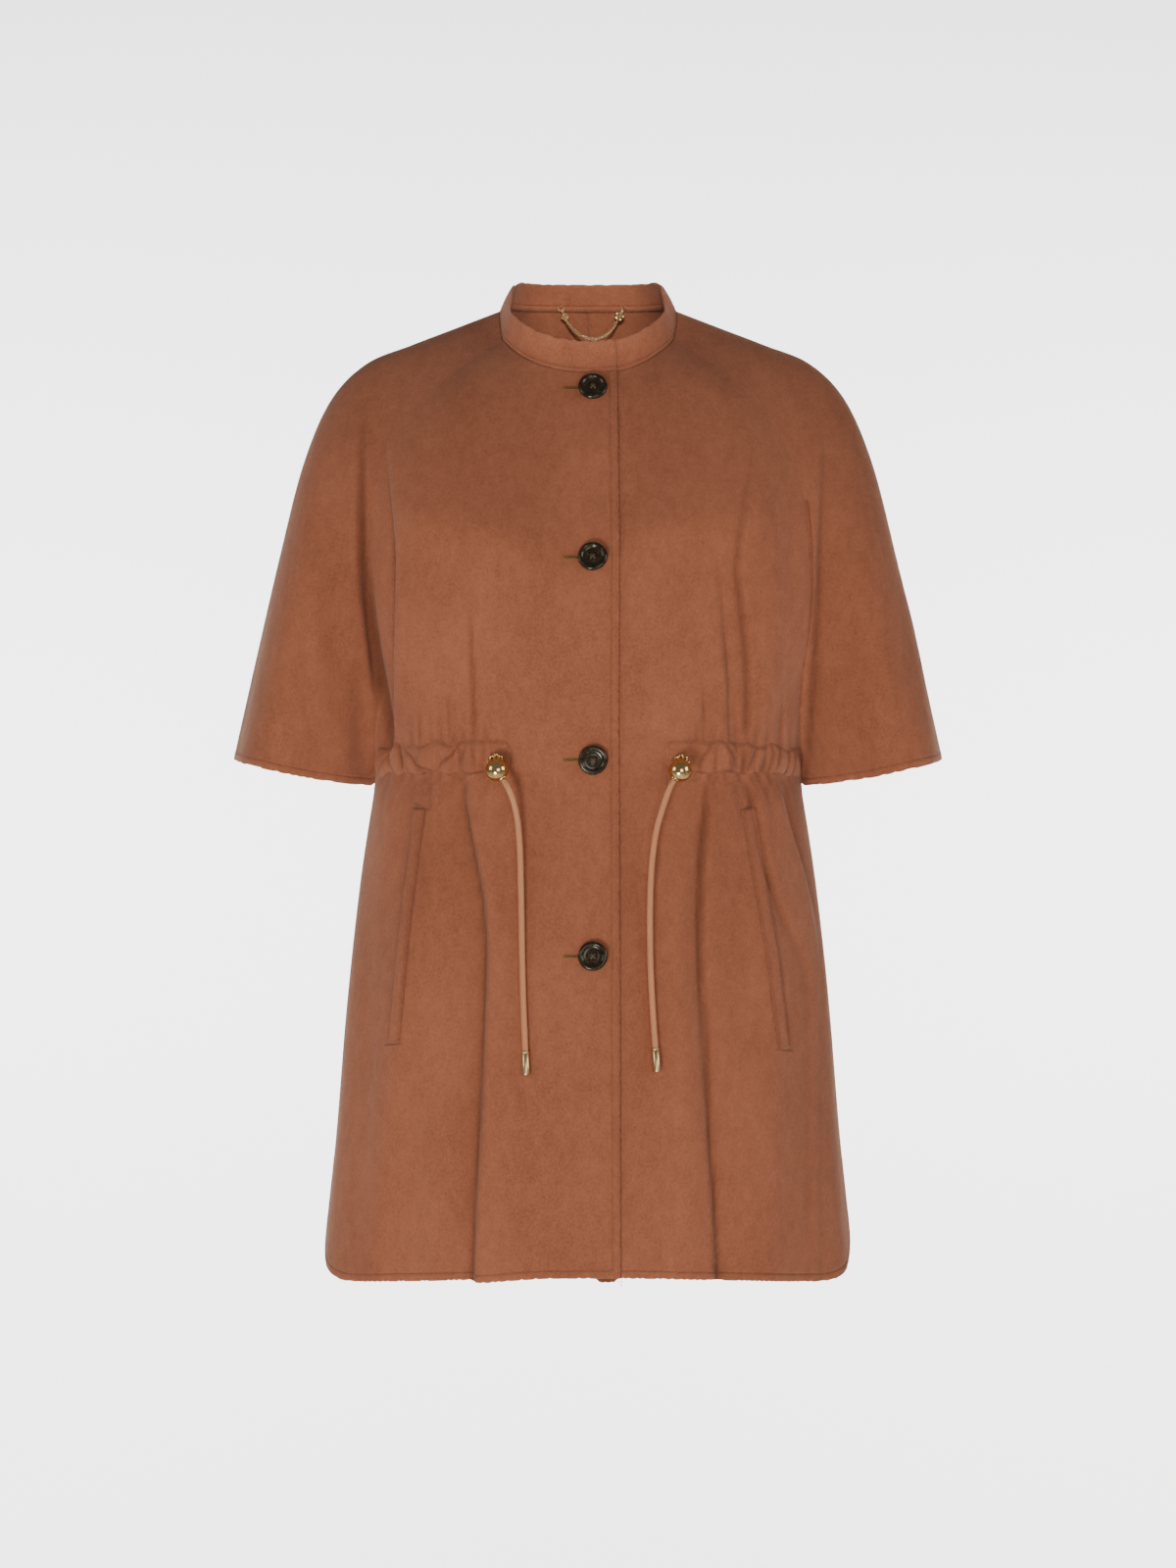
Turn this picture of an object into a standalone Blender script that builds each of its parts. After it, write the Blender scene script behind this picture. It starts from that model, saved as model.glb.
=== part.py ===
"""A short wool cape-jacket, worn: open in front with four buttons, wide elbow sleeves cut in one
with the fronts and backs, a stand collar, slanted welt pockets and a drawcord at the waist.

Sizes are in millimetres in the tables and become metres where a mesh is made.
+X is the wearer's left, the fronts face -Y, +Z is up. The origin is the middle of the neck,
level with the neck points of the shoulders, where a wearer carries the garment.
"""

import math

import bmesh
import bpy
import numpy as np
from mathutils import Matrix, Vector
from mathutils.bvhtree import BVHTree

MM = 0.001

# Driving dimensions, in millimetres.
CLOTH = 2.2  # double-faced wool
SEAM_GAP = 0.3  # between pieces at a seam
HALF_LAP = 26.0  # each front runs this far past the middle
LAP_LIFT = 1.35  # the upper front rides this far out in the lap, the under front as far in
COLLAR_HEIGHT = 26.0
COLLAR_GAP = 0.5
COLLAR_MIDDLE = -6.0  # the collar's middle lies this far in front of the origin
CASING_HEIGHT = 28.0
CASING_CLOTH = 1.3
CASING_FOOT = -394.0
WELT_WIDTH = 12.0
WELT_CLOTH = 1.6
SEAT = 0.5  # what lies on a panel stays this far off its facets
BAND_SEAT = 0.9  # a band that bends over them
BUTTON_DIAMETER = 25.0
BUTTON_THICKNESS = 4.0
BUTTON_HEIGHTS = (-75.0, -218.0, -382.0, -543.0)
BUTTON_SIDE = 4.0  # the buttons' middles lie this far to the wearer's left
CORD_DIAMETER = 5.4
STOP_DIAMETER = 20.0
EYELET_WIDTH = 15.0
TIP_DIAMETER = 6.4
TIP_LENGTH = 19.5
CHAIN_DIAMETER = 2.6

# Grid of a panel: cells over the lap, the body, the sleeve, and rows above and below the waist.
LAP_CELLS = 2
FRONT_CELLS = (15, 7)
BACK_CELLS = (12, 7)
UPPER_ROWS = 17
LOWER_ROWS = 8
CORNER_ROWS = 4
CASING_CUTS, CASING_ROWS = 2, 3  # the band is cut twice for each cell of the panel under it
WELT_SECTIONS, WELT_ROWS = 20, 2
COLLAR_STEPS, COLLAR_ROWS = 12, 2  # steps for each quarter

FRONT, BACK = -1, 1
RIGHT, LEFT = -1, 1  # the wearer's sides, on -X and +X

# One row for each level, neck ring to waist. The middle line's depth and height, then the crease
# where body and sleeve part: how far out, how deep, how high, and the way the cloth turns there,
# in degrees from sideways, on the body's side and on the sleeve's. Reaches are Bezier handles.
#          middle_depth, middle_height, crease_out, crease_depth, crease_height,
#          body_turn, sleeve_turn, middle_reach, body_reach, crease_reach
FRONT_LEVELS = np.array(
    [
        (74, -61, 71, 38, -30, 66, 74, 44, 20, 13),  # neck seam
        (84, -90, 99, 48, -50, 58, 62, 58, 30, 17),
        (97, -127, 131, 57, -76, 50, 54, 72, 36, 21),  # shoulder
        (108, -167, 158, 66, -112, 46, 45, 84, 42, 27),
        (117, -206, 177, 72, -156, 45, 30, 90, 44, 28),  # chest
        (121, -248, 183, 74, -210, 50, 6, 95, 46, 32),
        (118, -293, 182, 66, -268, 58, -22, 98, 50, 38),
        (112, -343, 176, 44, -332, 66, -42, 104, 54, 50),
        (106, -398, 181, 2.0, -403, 78, -60, 110, 62, 78),  # waist and sleeve hem
    ],
    float,
)
BACK_LEVELS = np.array(
    [
        (63, 9, 66, 38, 8, 58, 66, 42, 22, 14),  # neck seam
        (82, -24, 97, 46, -10, 54, 58, 58, 32, 18),
        (97, -64, 128, 56, -40, 48, 52, 72, 38, 22),  # shoulder
        (108, -110, 156, 66, -84, 45, 44, 84, 42, 27),
        (112, -158, 176, 73, -134, 45, 30, 90, 44, 28),
        (110, -208, 184, 75, -190, 50, 6, 95, 46, 32),
        (103, -268, 183, 66, -254, 58, -22, 98, 50, 38),
        (96, -332, 177, 43, -324, 66, -42, 102, 54, 50),
        (92, -398, 181, 2.0, -403, 78, -60, 106, 58, 78),  # waist and sleeve hem
    ],
    float,
)
# The shoulder and overarm line, shared by front and back: how far out, how high, handle length.
#          out, height, front_reach, back_reach
OVERARM_LEVELS = np.array(
    [
        (75, 0, 13, 14),
        (111, -14, 18, 19),
        (150, -29, 24, 25),
        (188.5, -45, 29, 30),
        (218.5, -76, 36, 37),
        (241.5, -130, 50, 50),
        (261.5, -209, 70, 70),
        (281, -292, 92, 92),
        (301, -381, 113, 113),
    ],
    float,
)
# Below the waist: height at the side seam, front depth, back depth, half width at the side seam.
SKIRT_LEVELS = np.array(
    [
        (-403, 106, 92, 181),
        (-485, 112, 105, 193.5),
        (-590, 122, 121, 205),
        (-705, 133, 133, 214.5),
        (-820, 142, 141, 227),
    ],
    float,
)
HEM_RISE = (18.0, 4.0)  # the hem's middle is this much higher than its sides, front and back
SKIRT_REACH = (112.0, 66.0)  # Bezier handles of a skirt section, at the middle and at the side
SIDE_VENT = (-718.0, 3.0)  # where the side seam ends, and how far the edges part by the corner
HEM_CORNER = (100.0, 56.0)  # the round corner's width and height

# Folds pressed into the fronts and backs: x and height at the fold's top, middle and foot, then
# its depth, its half width, and the side on which the cloth rises beside it.
#        x_top, z_top, x_mid, z_mid, x_foot, z_foot, depth, width, rise
FRONT_FOLDS = (
    (-157, -165, -158, -260, -161, -400, 3.0, 9, 1),
    (-94, -285, -94, -330, -94, -400, 1.6, 6, -1),
    (-101, -385, -88, -560, -95, -815, 6.0, 13, -1),
    (-140, -400, -150, -480, -166, -600, 2.5, 12, -1),
    (132, -140, 123, -230, 134, -400, 3.0, 9, -1),
    (108, -225, 112, -290, 118, -400, 2.2, 8, 1),
    (96, -315, 96, -350, 97, -400, 1.6, 6, 1),
    (97, -392, 93, -560, 108, -770, 4.0, 12, 1),
    (130, -392, 152, -475, 184, -560, 3.6, 11, 1),
    (62, -640, 58, -730, 52, -815, 2.5, 24, 1),
)
BACK_FOLDS = (
    (-150, -170, -152, -270, -156, -400, 3.0, 10, 1),
    (-74, -255, -72, -320, -68, -400, 2.0, 10, -1),
    (-88, -400, -92, -580, -104, -800, 5.0, 15, -1),
    (-140, -392, -156, -520, -172, -680, 3.0, 13, 1),
    (128, -160, 132, -270, 138, -400, 3.0, 10, -1),
    (84, -275, 82, -330, 80, -400, 2.2, 9, 1),
    (78, -392, 84, -600, 98, -800, 5.0, 14, 1),
    (142, -392, 154, -500, 170, -650, 3.0, 12, -1),
    (30, -392, 34, -520, 40, -700, 2.6, 14, -1),
    (-36, -392, -40, -500, -44, -640, 2.2, 14, 1),
)

# The drawcord's tails, from the stop to the tip: x, depth in front of the body, height.
CORD_ROUTES = {
    "right": (
        (-68.8, -118.4, -398.8), (-66.1, -119.3, -403.2), (-63.2, -119.2, -409.5),
        (-60.4, -118.4, -418), (-57.9, -117.2, -430), (-56.3, -116.4, -445), (-55.4, -116, -462),
        (-54.9, -116, -480), (-54.5, -116.6, -498), (-54.2, -117.4, -516), (-53.9, -118.4, -534),
        (-53.5, -119.6, -552), (-53, -121, -570), (-52.4, -122.6, -588), (-51.7, -124.2, -604),
        (-51.1, -125.8, -619.5),
    ),
    "left": (
        (69.8, -118.2, -399.3), (67.2, -119.2, -404), (64, -119, -412.5), (60, -118, -425),
        (56.4, -117, -438), (53.8, -116.3, -453), (52.2, -116, -468), (51.2, -116, -485),
        (50.7, -116.4, -502), (50.6, -117.1, -519), (50.8, -118, -537), (51.3, -119.1, -555),
        (52.1, -120.4, -573), (53.1, -121.9, -590), (54.1, -123.2, -604), (55, -124.5, -617),
    ),
}
STOP_PLACES = {"right": (-74.5, -115.8, -390.5), "left": (75.5, -115.6, -391.0)}
EYELET_PLACES = {"right": (-75.0, -383.0), "left": (75.5, -383.5)}
# The pockets' welts: x and height of the upper and lower end.
WELT_ENDS = {
    "right": ((-140, -422), (-159, -617)),
    "left": ((131, -422), (162, -622)),
}
# The waist casing on a front starts beside the stop and runs to the side seam, as shares of the
# way round; on a back it runs from the middle seam.
CASING_START, CASING_END = 0.225, 0.93
BACK_CASING_START = 0.01
# The hanger chain inside the back neck: x and height of the fittings at its ends, then x, depth
# and height of the line between them.
CHAIN_ENDS = ((-23.5, 10.5), (31.0, 10.5))
CHAIN_ROUTE = (
    (-18.2, 57, -1.5), (-13, 57, -9), (-6, 57, -14.5), (3, 57, -16.5),
    (12, 57, -14.5), (19.5, 56.6, -9), (25, 55.6, -1.5),
)

WOOL = (0.27, 0.095, 0.05, 1.0)
GOLD = (0.80, 0.62, 0.33, 1.0)
HORN = (0.035, 0.022, 0.012, 1.0)
SATIN = (0.52, 0.23, 0.13, 1.0)


# ---------------------------------------------------------------- scene and materials


def clear_scene():
    """Remove every object that the file opened with."""
    for leftover in list(bpy.data.objects):
        bpy.data.objects.remove(leftover)


def make_material(name, colour, roughness, metallic=0.0):
    """A plain Principled material."""
    material = bpy.data.materials.new(name)
    material.use_nodes = True
    shader = material.node_tree.nodes["Principled BSDF"]
    shader.inputs["Base Color"].default_value = colour
    shader.inputs["Roughness"].default_value = roughness
    shader.inputs["Metallic"].default_value = metallic
    material.diffuse_color = colour
    return material


def add_object(name, mesh, material, collection):
    """Put a mesh in the cape's collection, smooth apart from its sharp edges."""
    mesh.materials.clear()
    mesh.materials.append(material)
    mesh.shade_smooth()
    mesh.set_sharp_from_angle(angle=math.radians(50))
    made = bpy.data.objects.new(name, mesh)
    collection.objects.link(made)
    return made


# ---------------------------------------------------------------- the cloth's form


def between_rows(table, row):
    """Read a table at fractional rows, on Catmull-Rom curves through its rows."""
    last = len(table) - 1
    row = np.clip(row, 0, last)
    low = np.minimum(np.floor(row).astype(int), last - 1)
    t = (row - low)[..., None]
    before = table[np.maximum(low - 1, 0)]
    start, end = table[low], table[low + 1]
    after = table[np.minimum(low + 2, last)]
    slope_in = np.where((low > 0)[..., None], (end - before) / 2, end - start)
    slope_out = np.where((low + 2 <= last)[..., None], (after - start) / 2, end - start)
    return (
        (2 * t**3 - 3 * t**2 + 1) * start
        + (t**3 - 2 * t**2 + t) * slope_in
        + (3 * t**2 - 2 * t**3) * end
        + (t**3 - t**2) * slope_out
    )


def bezier(a, b, c, d, t):
    """A cubic Bezier's value at t."""
    return (1 - t) ** 3 * a + 3 * (1 - t) ** 2 * t * b + 3 * (1 - t) * t**2 * c + t**3 * d


def soft_step(x, low, high):
    """0 below low, 1 above high, smooth between."""
    t = np.clip((x - low) / (high - low), 0, 1)
    return t * t * (3 - 2 * t)


def upper_surface(face, across, level):
    """Above the waist. across runs from below 0 in the lap, 0 at the middle, 1 at the crease
    between body and sleeve, to 2 on the overarm; level runs from 0, neck, to 8, waist. Returns
    outward x, depth in front of or behind the body's middle plane, and height."""
    table = FRONT_LEVELS if face == FRONT else BACK_LEVELS
    (mid_depth, mid_height, out, depth, height, body_turn, sleeve_turn, mid_reach,
     body_reach, crease_reach) = np.moveaxis(between_rows(table, level), -1, 0)
    arm_out, arm_height, front_reach, back_reach = np.moveaxis(
        between_rows(OVERARM_LEVELS, level), -1, 0
    )
    arm_reach = front_reach if face == FRONT else back_reach
    body_turn, sleeve_turn = np.radians(body_turn), np.radians(sleeve_turn)
    body_rise, sleeve_rise = height - mid_height, arm_height - height
    same_way = body_rise * sleeve_rise > 0
    slope = np.where(
        same_way, 2 * body_rise * sleeve_rise / np.where(same_way, body_rise + sleeve_rise, 1), 0
    )
    t = np.clip(np.abs(across), 0, 1)
    x = bezier(0, mid_reach, out - body_reach * np.cos(body_turn), out, t)
    y = bezier(mid_depth, mid_depth, depth + body_reach * np.sin(body_turn), depth, t)
    z = bezier(mid_height, mid_height, height - slope / 3, height, t)
    x = np.where(across < 0, -x, x)
    t = np.clip(across - 1, 0, 1)
    on_sleeve = across > 1
    x = np.where(
        on_sleeve, bezier(out, out + crease_reach * np.cos(sleeve_turn), arm_out, arm_out, t), x
    )
    y = np.where(
        on_sleeve, bezier(depth, depth - crease_reach * np.sin(sleeve_turn), arm_reach, 0, t), y
    )
    z = np.where(on_sleeve, bezier(height, height + slope / 3, arm_height, arm_height, t), z)
    return x, y, z


def skirt_surface(face, across, drop):
    """Below the waist. across runs from the lap, below 0, to the side seam, 1; drop runs from
    0 at the waist to 4 at the hem."""
    side_height, front_depth, back_depth, side_out = np.moveaxis(
        between_rows(SKIRT_LEVELS, drop), -1, 0
    )
    mid_depth = front_depth if face == FRONT else back_depth
    down = drop / (len(SKIRT_LEVELS) - 1)
    table = FRONT_LEVELS if face == FRONT else BACK_LEVELS
    waist_rise = table[-1, 1] - SKIRT_LEVELS[0, 0]
    rise = waist_rise * (1 - down) + HEM_RISE[0 if face == FRONT else 1] * down
    middle, side = SKIRT_REACH
    t = np.clip(np.abs(across), 0, 1)
    x = bezier(0, middle, side_out, side_out, t)
    y = bezier(mid_depth, mid_depth, side, 0, t)
    z = side_height + rise * (1 - soft_step(t, 0, 1))
    x = np.where(across < 0, -x, x)
    return x, y, z


def form(face, side, across, level):
    """The garment's outer surface with no folds, in millimetres. Levels above 8 are the skirt."""
    waist = len(FRONT_LEVELS) - 1
    upper = upper_surface(face, across, np.minimum(level, waist))
    skirt = skirt_surface(face, np.minimum(across, 1), np.maximum(level - waist, 0))
    x, y, z = (np.where(level > waist, s, u) for u, s in zip(upper, skirt))
    return np.stack([side * x, face * y, z], axis=-1)


def outward(surface, face, side, across, level):
    """Unit normals of a surface, from the slopes along its two parameters."""
    step = 1e-3
    waist = len(FRONT_LEVELS) - 1
    limit = np.where(level > waist, 1.0, 2.0)
    low_level = np.where(level > waist, waist + 1e-6, 0)
    high_level = np.where(level > waist, waist + len(SKIRT_LEVELS) - 1.0, waist)
    along = surface(face, side, np.minimum(across + step, limit), level) - surface(
        face, side, across - step, level
    )
    down = surface(face, side, across, np.minimum(level + step, high_level)) - surface(
        face, side, across, np.maximum(level - step, low_level)
    )
    normal = np.cross(along, down) * face * side
    return normal / np.linalg.norm(normal, axis=-1, keepdims=True)


def fold_depth(face, x, z):
    """How far the folds push the cloth in or out, in millimetres."""
    pushed = np.zeros_like(x)
    for x_top, z_top, x_mid, z_mid, x_foot, z_foot, depth, width, rise in (
        FRONT_FOLDS if face == FRONT else BACK_FOLDS
    ):
        long = z_top - z_foot
        t = (z_top - z) / long
        mid = (z_top - z_mid) / long
        bend = (x_mid - x_top - (x_foot - x_top) * mid) / (mid * (mid - 1))
        middle = x_top + (x_foot - x_top) * t + bend * t * (t - 1)
        away = (x - middle) / width
        strength = soft_step(t, -0.05, 0.3) * (1 - soft_step(t, 0.85, 1.12))
        trough = np.exp(-(away**2))
        ridge = 0.55 * np.exp(-((away - 1.7 * rise) ** 2))
        pushed += depth * strength * (ridge - trough)
    return pushed


def cloth(face, side, across, level):
    """The outer surface with its folds and, on the fronts, the lap's lift."""
    plain = form(face, side, across, level)
    x, y, z = np.moveaxis(plain, -1, 0)
    pushed = fold_depth(face, x, z) * soft_step(np.abs(y), 3, 26)
    if face == FRONT:
        over = LAP_LIFT if side == RIGHT else -LAP_LIFT
        pushed = pushed + over * (1 - soft_step(side * x, HALF_LAP + 2, HALF_LAP + 34))
    else:
        pushed = pushed * soft_step(side * x, 0, 14)
    return plain + outward(form, face, side, across, level) * pushed[..., None]


# ---------------------------------------------------------------- panels


def panel_grid(face):
    """across and level at each point of a panel, and which cells are cloth."""
    body, sleeve = FRONT_CELLS if face == FRONT else BACK_CELLS
    waist = len(FRONT_LEVELS) - 1
    hem = waist + len(SKIRT_LEVELS) - 1
    upper = np.linspace(0, waist, UPPER_ROWS + 1)
    drop_per_level = (SKIRT_LEVELS[-2, 0] - SKIRT_LEVELS[-1, 0])
    corner = HEM_CORNER[1] / drop_per_level
    below_waist = waist + 0.12
    straight = np.linspace(below_waist, hem - corner, LOWER_ROWS)
    turn = np.linspace(0, math.pi / 2, CORNER_ROWS + 1)[1:]
    rounded = hem - corner + corner * np.sin(turn)
    levels = np.concatenate([upper, straight, rounded])

    acrosses = np.concatenate(
        [np.linspace(0, 1, body + 1), 1 + np.linspace(0, 1, sleeve + 1)[1:]]
    )
    across, level = np.meshgrid(acrosses, levels)

    # The side edges part below the vent's top, and round off into the hem.
    arc = 0.5 * math.pi * 185.0
    side_height = between_rows(SKIRT_LEVELS, np.maximum(level - waist, 0))[..., 0]
    vent = soft_step(-side_height, -SIDE_VENT[0], -SIDE_VENT[0] + 50) * SIDE_VENT[1] / arc
    into = np.clip((level - (hem - corner)) / corner, 0, 1)
    rounding = HEM_CORNER[0] / arc * (1 - np.sqrt(1 - into**2))
    on_skirt = level > waist
    across = np.where(on_skirt, np.minimum(across, 1) * (1 - vent - rounding), across)

    if face == FRONT:
        upper_reach = between_rows(FRONT_LEVELS, np.minimum(levels, waist))[:, 7]
        reach = np.where(levels > waist, SKIRT_REACH[0], upper_reach)
        edge = -HALF_LAP / (3 * reach)
        lap = edge[:, None] * np.linspace(1, 0, LAP_CELLS + 1)[None, :-1]
        across = np.concatenate([lap, across], axis=1)
        level = np.concatenate([np.repeat(levels[:, None], LAP_CELLS, axis=1), level], axis=1)
        body += LAP_CELLS
    rows, columns = across.shape
    cells = np.ones((rows - 1, columns - 1), bool)
    cells[UPPER_ROWS:, body:] = False
    return across, level, cells, body


def wall_mesh(name, outer, inner, cells, flip):
    """A closed wall between two grids of points, over the cells that are cloth."""
    rows, columns = cells.shape
    used = np.zeros((rows + 1, columns + 1), bool)
    for dr in (0, 1):
        for dc in (0, 1):
            used[dr : rows + dr, dc : columns + dc] |= cells
    number = np.cumsum(used).reshape(used.shape) - 1
    count = int(used.sum())
    points = np.concatenate([outer[used], inner[used]]) * MM
    r, c = np.nonzero(cells)
    corners = np.stack(
        [number[r, c], number[r, c + 1], number[r + 1, c + 1], number[r + 1, c]], axis=1
    )
    halves = np.concatenate([corners[:, [0, 1, 2]], corners[:, [0, 2, 3]]]).tolist()
    edges = {(a, b) for half in halves for a, b in zip(half, half[1:] + half[:1])}
    rim = sorted((a, b) for a, b in edges if (b, a) not in edges)
    faces = halves + [[v + count for v in reversed(half)] for half in halves]
    faces += [[b, a, a + count, b + count] for a, b in rim]
    if flip:
        faces = [face[::-1] for face in faces]
    mesh = bpy.data.meshes.new(name)
    mesh.from_pydata(points.tolist(), [], faces)
    mesh.validate()
    return mesh


def panel_points(face, side):
    """Outer and inner points of a front or back, half a seam's gap clear of its neighbours."""
    across, level, cells, body = panel_grid(face)
    outer = cloth(face, side, across, level)
    normal = outward(cloth, face, side, across, level)
    waist = len(FRONT_LEVELS) - 1
    overarm = across >= 2
    side_seam = (level > waist) & (across >= 0.97)
    normal[overarm | side_seam, 1] = 0
    if face == BACK:
        normal[across <= 0, 0] = 0
    normal /= np.linalg.norm(normal, axis=-1, keepdims=True)
    inner = outer - normal * CLOTH
    half_gap = SEAM_GAP / 2
    for points in (outer, inner):
        depth = face * points[..., 1]
        points[..., 1] = face * np.maximum(depth, half_gap)
        if face == BACK:
            points[..., 0] = side * np.maximum(side * points[..., 0], half_gap)
    return outer, inner, cells, body


def make_panel(name, face, side, material, collection):
    outer, inner, cells, _ = panel_points(face, side)
    mesh = wall_mesh(name, outer, inner, cells, flip=face * side < 0)
    return add_object(name, mesh, material, collection)


def tree_of(panel):
    """The panel's facets, for seating what lies on it."""
    mesh = panel.data
    return BVHTree.FromPolygons([v.co for v in mesh.vertices], [p.vertices for p in mesh.polygons])


def level_at(face, side, across, height):
    """The level at which the cloth passes a height, in millimetres."""
    levels = np.linspace(0, len(FRONT_LEVELS) + len(SKIRT_LEVELS) - 2, 481)
    heights = form(face, side, np.full_like(levels, across), levels)[:, 2]
    return float(np.interp(-height, -heights, levels))


def across_at(face, side, x, height):
    """How far round the body the cloth passes x at a height."""
    acrosses = np.linspace(-0.12 if face == FRONT else 0.0, 1, 60)
    outs = [
        side * form(face, side, np.array(a), np.array(level_at(face, side, a, height)))[0]
        for a in acrosses
    ]
    return float(np.interp(side * x, outs, acrosses))


def seated(tree, face, side, across, height):
    """The point of a panel's facets at a height, with the cloth's normal there."""
    at = np.array(across), np.array(level_at(face, side, across, height))
    point, normal = cloth(face, side, *at), outward(cloth, face, side, *at)
    start = Vector(point + 12 * normal) * MM
    place, _, _, _ = tree.ray_cast(start, Vector(-normal))
    return np.array(place) / MM, normal


# ---------------------------------------------------------------- what lies on the panels


def strip_mesh(name, sections, lift, thickness, flip):
    """A band laid on a panel: its points are the panel's own, moved out. sections holds rows of
    (point, normal) across the band, and lift adds to the band's thickness."""
    rows, columns = len(sections), len(sections[0])
    outer = np.zeros((rows, columns, 3))
    inner = np.zeros_like(outer)
    for i, section in enumerate(sections):
        for j, (place, normal) in enumerate(section):
            s = 2 * j / (columns - 1) - 1
            inner[i, j] = place + normal * BAND_SEAT
            outer[i, j] = place + normal * (BAND_SEAT + thickness + lift(i, s))
    return wall_mesh(name, outer, inner, np.ones((rows - 1, columns - 1), bool), flip)


def make_casing(name, tree, face, side, across_ends, material, collection):
    """The drawcord's channel: a band round the waist, gathered on its cord."""
    body = (FRONT_CELLS if face == FRONT else BACK_CELLS)[0]
    cuts = np.arange(1, CASING_CUTS * body) / (CASING_CUTS * body)
    cuts = cuts[(cuts > across_ends[0] + 0.01) & (cuts < across_ends[1] - 0.01)]
    sections = []
    for across in (across_ends[0], *cuts, across_ends[1]):
        foot = CASING_FOOT - 6.0 * max(0.0, across - 0.3)
        sections.append(
            [
                seated(tree, face, side, across, foot + CASING_HEIGHT * k / CASING_ROWS)
                for k in range(CASING_ROWS + 1)
            ]
        )

    def gathers(i, s):
        start = 1 if face == BACK else min(1.0, i / 5)
        crumple = math.sin(i * math.pi / 2 + 1.1 * s) + 0.4 * math.sin(i * 1.9 + 2.0)
        return 1.1 * start * (1 + crumple) * (1 - s * s)

    mesh = strip_mesh(name, sections, gathers, CASING_CLOTH, flip=face * side < 0)
    return add_object(name, mesh, material, collection)


def make_welt(name, tree, side, ends, material, collection):
    """A slanted pocket's welt, stitched on flat."""
    top, bottom = np.array(ends[0], float), np.array(ends[1], float)
    along = (bottom - top) / np.linalg.norm(bottom - top)
    half = np.array((-along[1], along[0])) * WELT_WIDTH / 2
    sections = []
    for t in np.linspace(0, 1, WELT_SECTIONS):
        middle = top * (1 - t) + bottom * t
        section = []
        for k in range(WELT_ROWS + 1):
            x, height = middle + half * (2 * k / WELT_ROWS - 1)
            section.append(seated(tree, FRONT, side, across_at(FRONT, side, x, height), height))
        sections.append(section)
    mesh = strip_mesh(name, sections, lambda i, s: 0.25 * (1 - s * s), WELT_CLOTH, flip=True)
    return add_object(name, mesh, material, collection)


def neck_ring():
    """The neck seam's outer line, from the under front's edge over the wearer's left, the back and
    the wearer's right to the upper front's edge, and which of its points are lapped."""
    lap = -HALF_LAP / (3 * FRONT_LEVELS[0, 7])
    front = np.concatenate([[lap, lap / 2], np.linspace(0, 2, COLLAR_STEPS + 1)])
    back = np.linspace(2, 0, COLLAR_STEPS + 1)
    parts = []
    for face, side, across in (
        (FRONT, LEFT, front),
        (BACK, LEFT, back[1:]),
        (BACK, RIGHT, back[::-1][1:]),
        (FRONT, RIGHT, front[::-1][1:]),
    ):
        parts.append(cloth(face, side, across, np.zeros_like(across)))
    ring = np.concatenate(parts)
    lapped = (np.abs(ring[:, 0]) < HALF_LAP + 1) & (ring[:, 1] < 0)
    return ring, lapped


def make_collar(material, collection):
    """A stand collar on the neck seam, its ends lapped in front as the fronts are."""
    ring, lapped = neck_ring()
    away = ring - np.array((0.0, COLLAR_MIDDLE, 0.0))
    away[:, 2] = 0
    away /= np.linalg.norm(away, axis=1, keepdims=True)
    away[lapped] = (0, -1, 0)
    lean = 0.12 + 0.40 * soft_step(ring[:, 1], -60, 0)
    up = np.array((0.0, 0.0, 1.0)) - away * lean[:, None]
    up /= np.linalg.norm(up, axis=1, keepdims=True)
    height = COLLAR_HEIGHT - 3.0 * soft_step(ring[:, 1], 0, 50)
    outer = []
    for t in np.linspace(1, 0, COLLAR_ROWS + 1):
        bulge = 0.8 * math.sin(math.pi * t)
        rise = COLLAR_GAP + (height - COLLAR_GAP) * t
        outer.append(ring + away * bulge + up * rise[:, None])
    outer = np.array(outer)
    inner = outer - away[None] * CLOTH
    cells = np.ones((COLLAR_ROWS, len(ring) - 1), bool)
    return add_object("collar", wall_mesh("collar", outer, inner, cells, flip=True), material,
                      collection)


# ---------------------------------------------------------------- turned and round pieces


def applied_mesh(made):
    """The object's mesh with its modifiers applied, and the object removed."""
    graph = bpy.context.evaluated_depsgraph_get()
    mesh = bpy.data.meshes.new_from_object(made.evaluated_get(graph))
    bpy.data.objects.remove(made)
    tidy = bmesh.new()
    tidy.from_mesh(mesh)
    bmesh.ops.remove_doubles(tidy, verts=tidy.verts, dist=1e-6)
    tidy.to_mesh(mesh)
    tidy.free()
    return mesh


def turned_mesh(name, profile, steps):
    """A solid turned about Z from a profile of (radius, height) in millimetres, top first."""
    outline = bpy.data.meshes.new(name)
    points = [(r * MM, 0, h * MM) for r, h in profile]
    outline.from_pydata(points, [(i, i + 1) for i in range(len(points) - 1)], [])
    blank = bpy.data.objects.new(name, outline)
    bpy.context.scene.collection.objects.link(blank)
    screw = blank.modifiers.new("turn", "SCREW")
    screw.steps = steps
    screw.render_steps = steps
    screw.use_merge_vertices = True
    screw.merge_threshold = 1e-6
    return applied_mesh(blank)


def place_mesh(mesh, place, facing):
    """Turn a mesh's +Z to facing and move it to place, in millimetres."""
    turn = Vector(facing).to_track_quat("Z", "Y").to_matrix().to_4x4()
    mesh.transform(Matrix.Translation(Vector(place) * MM) @ turn)


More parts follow.
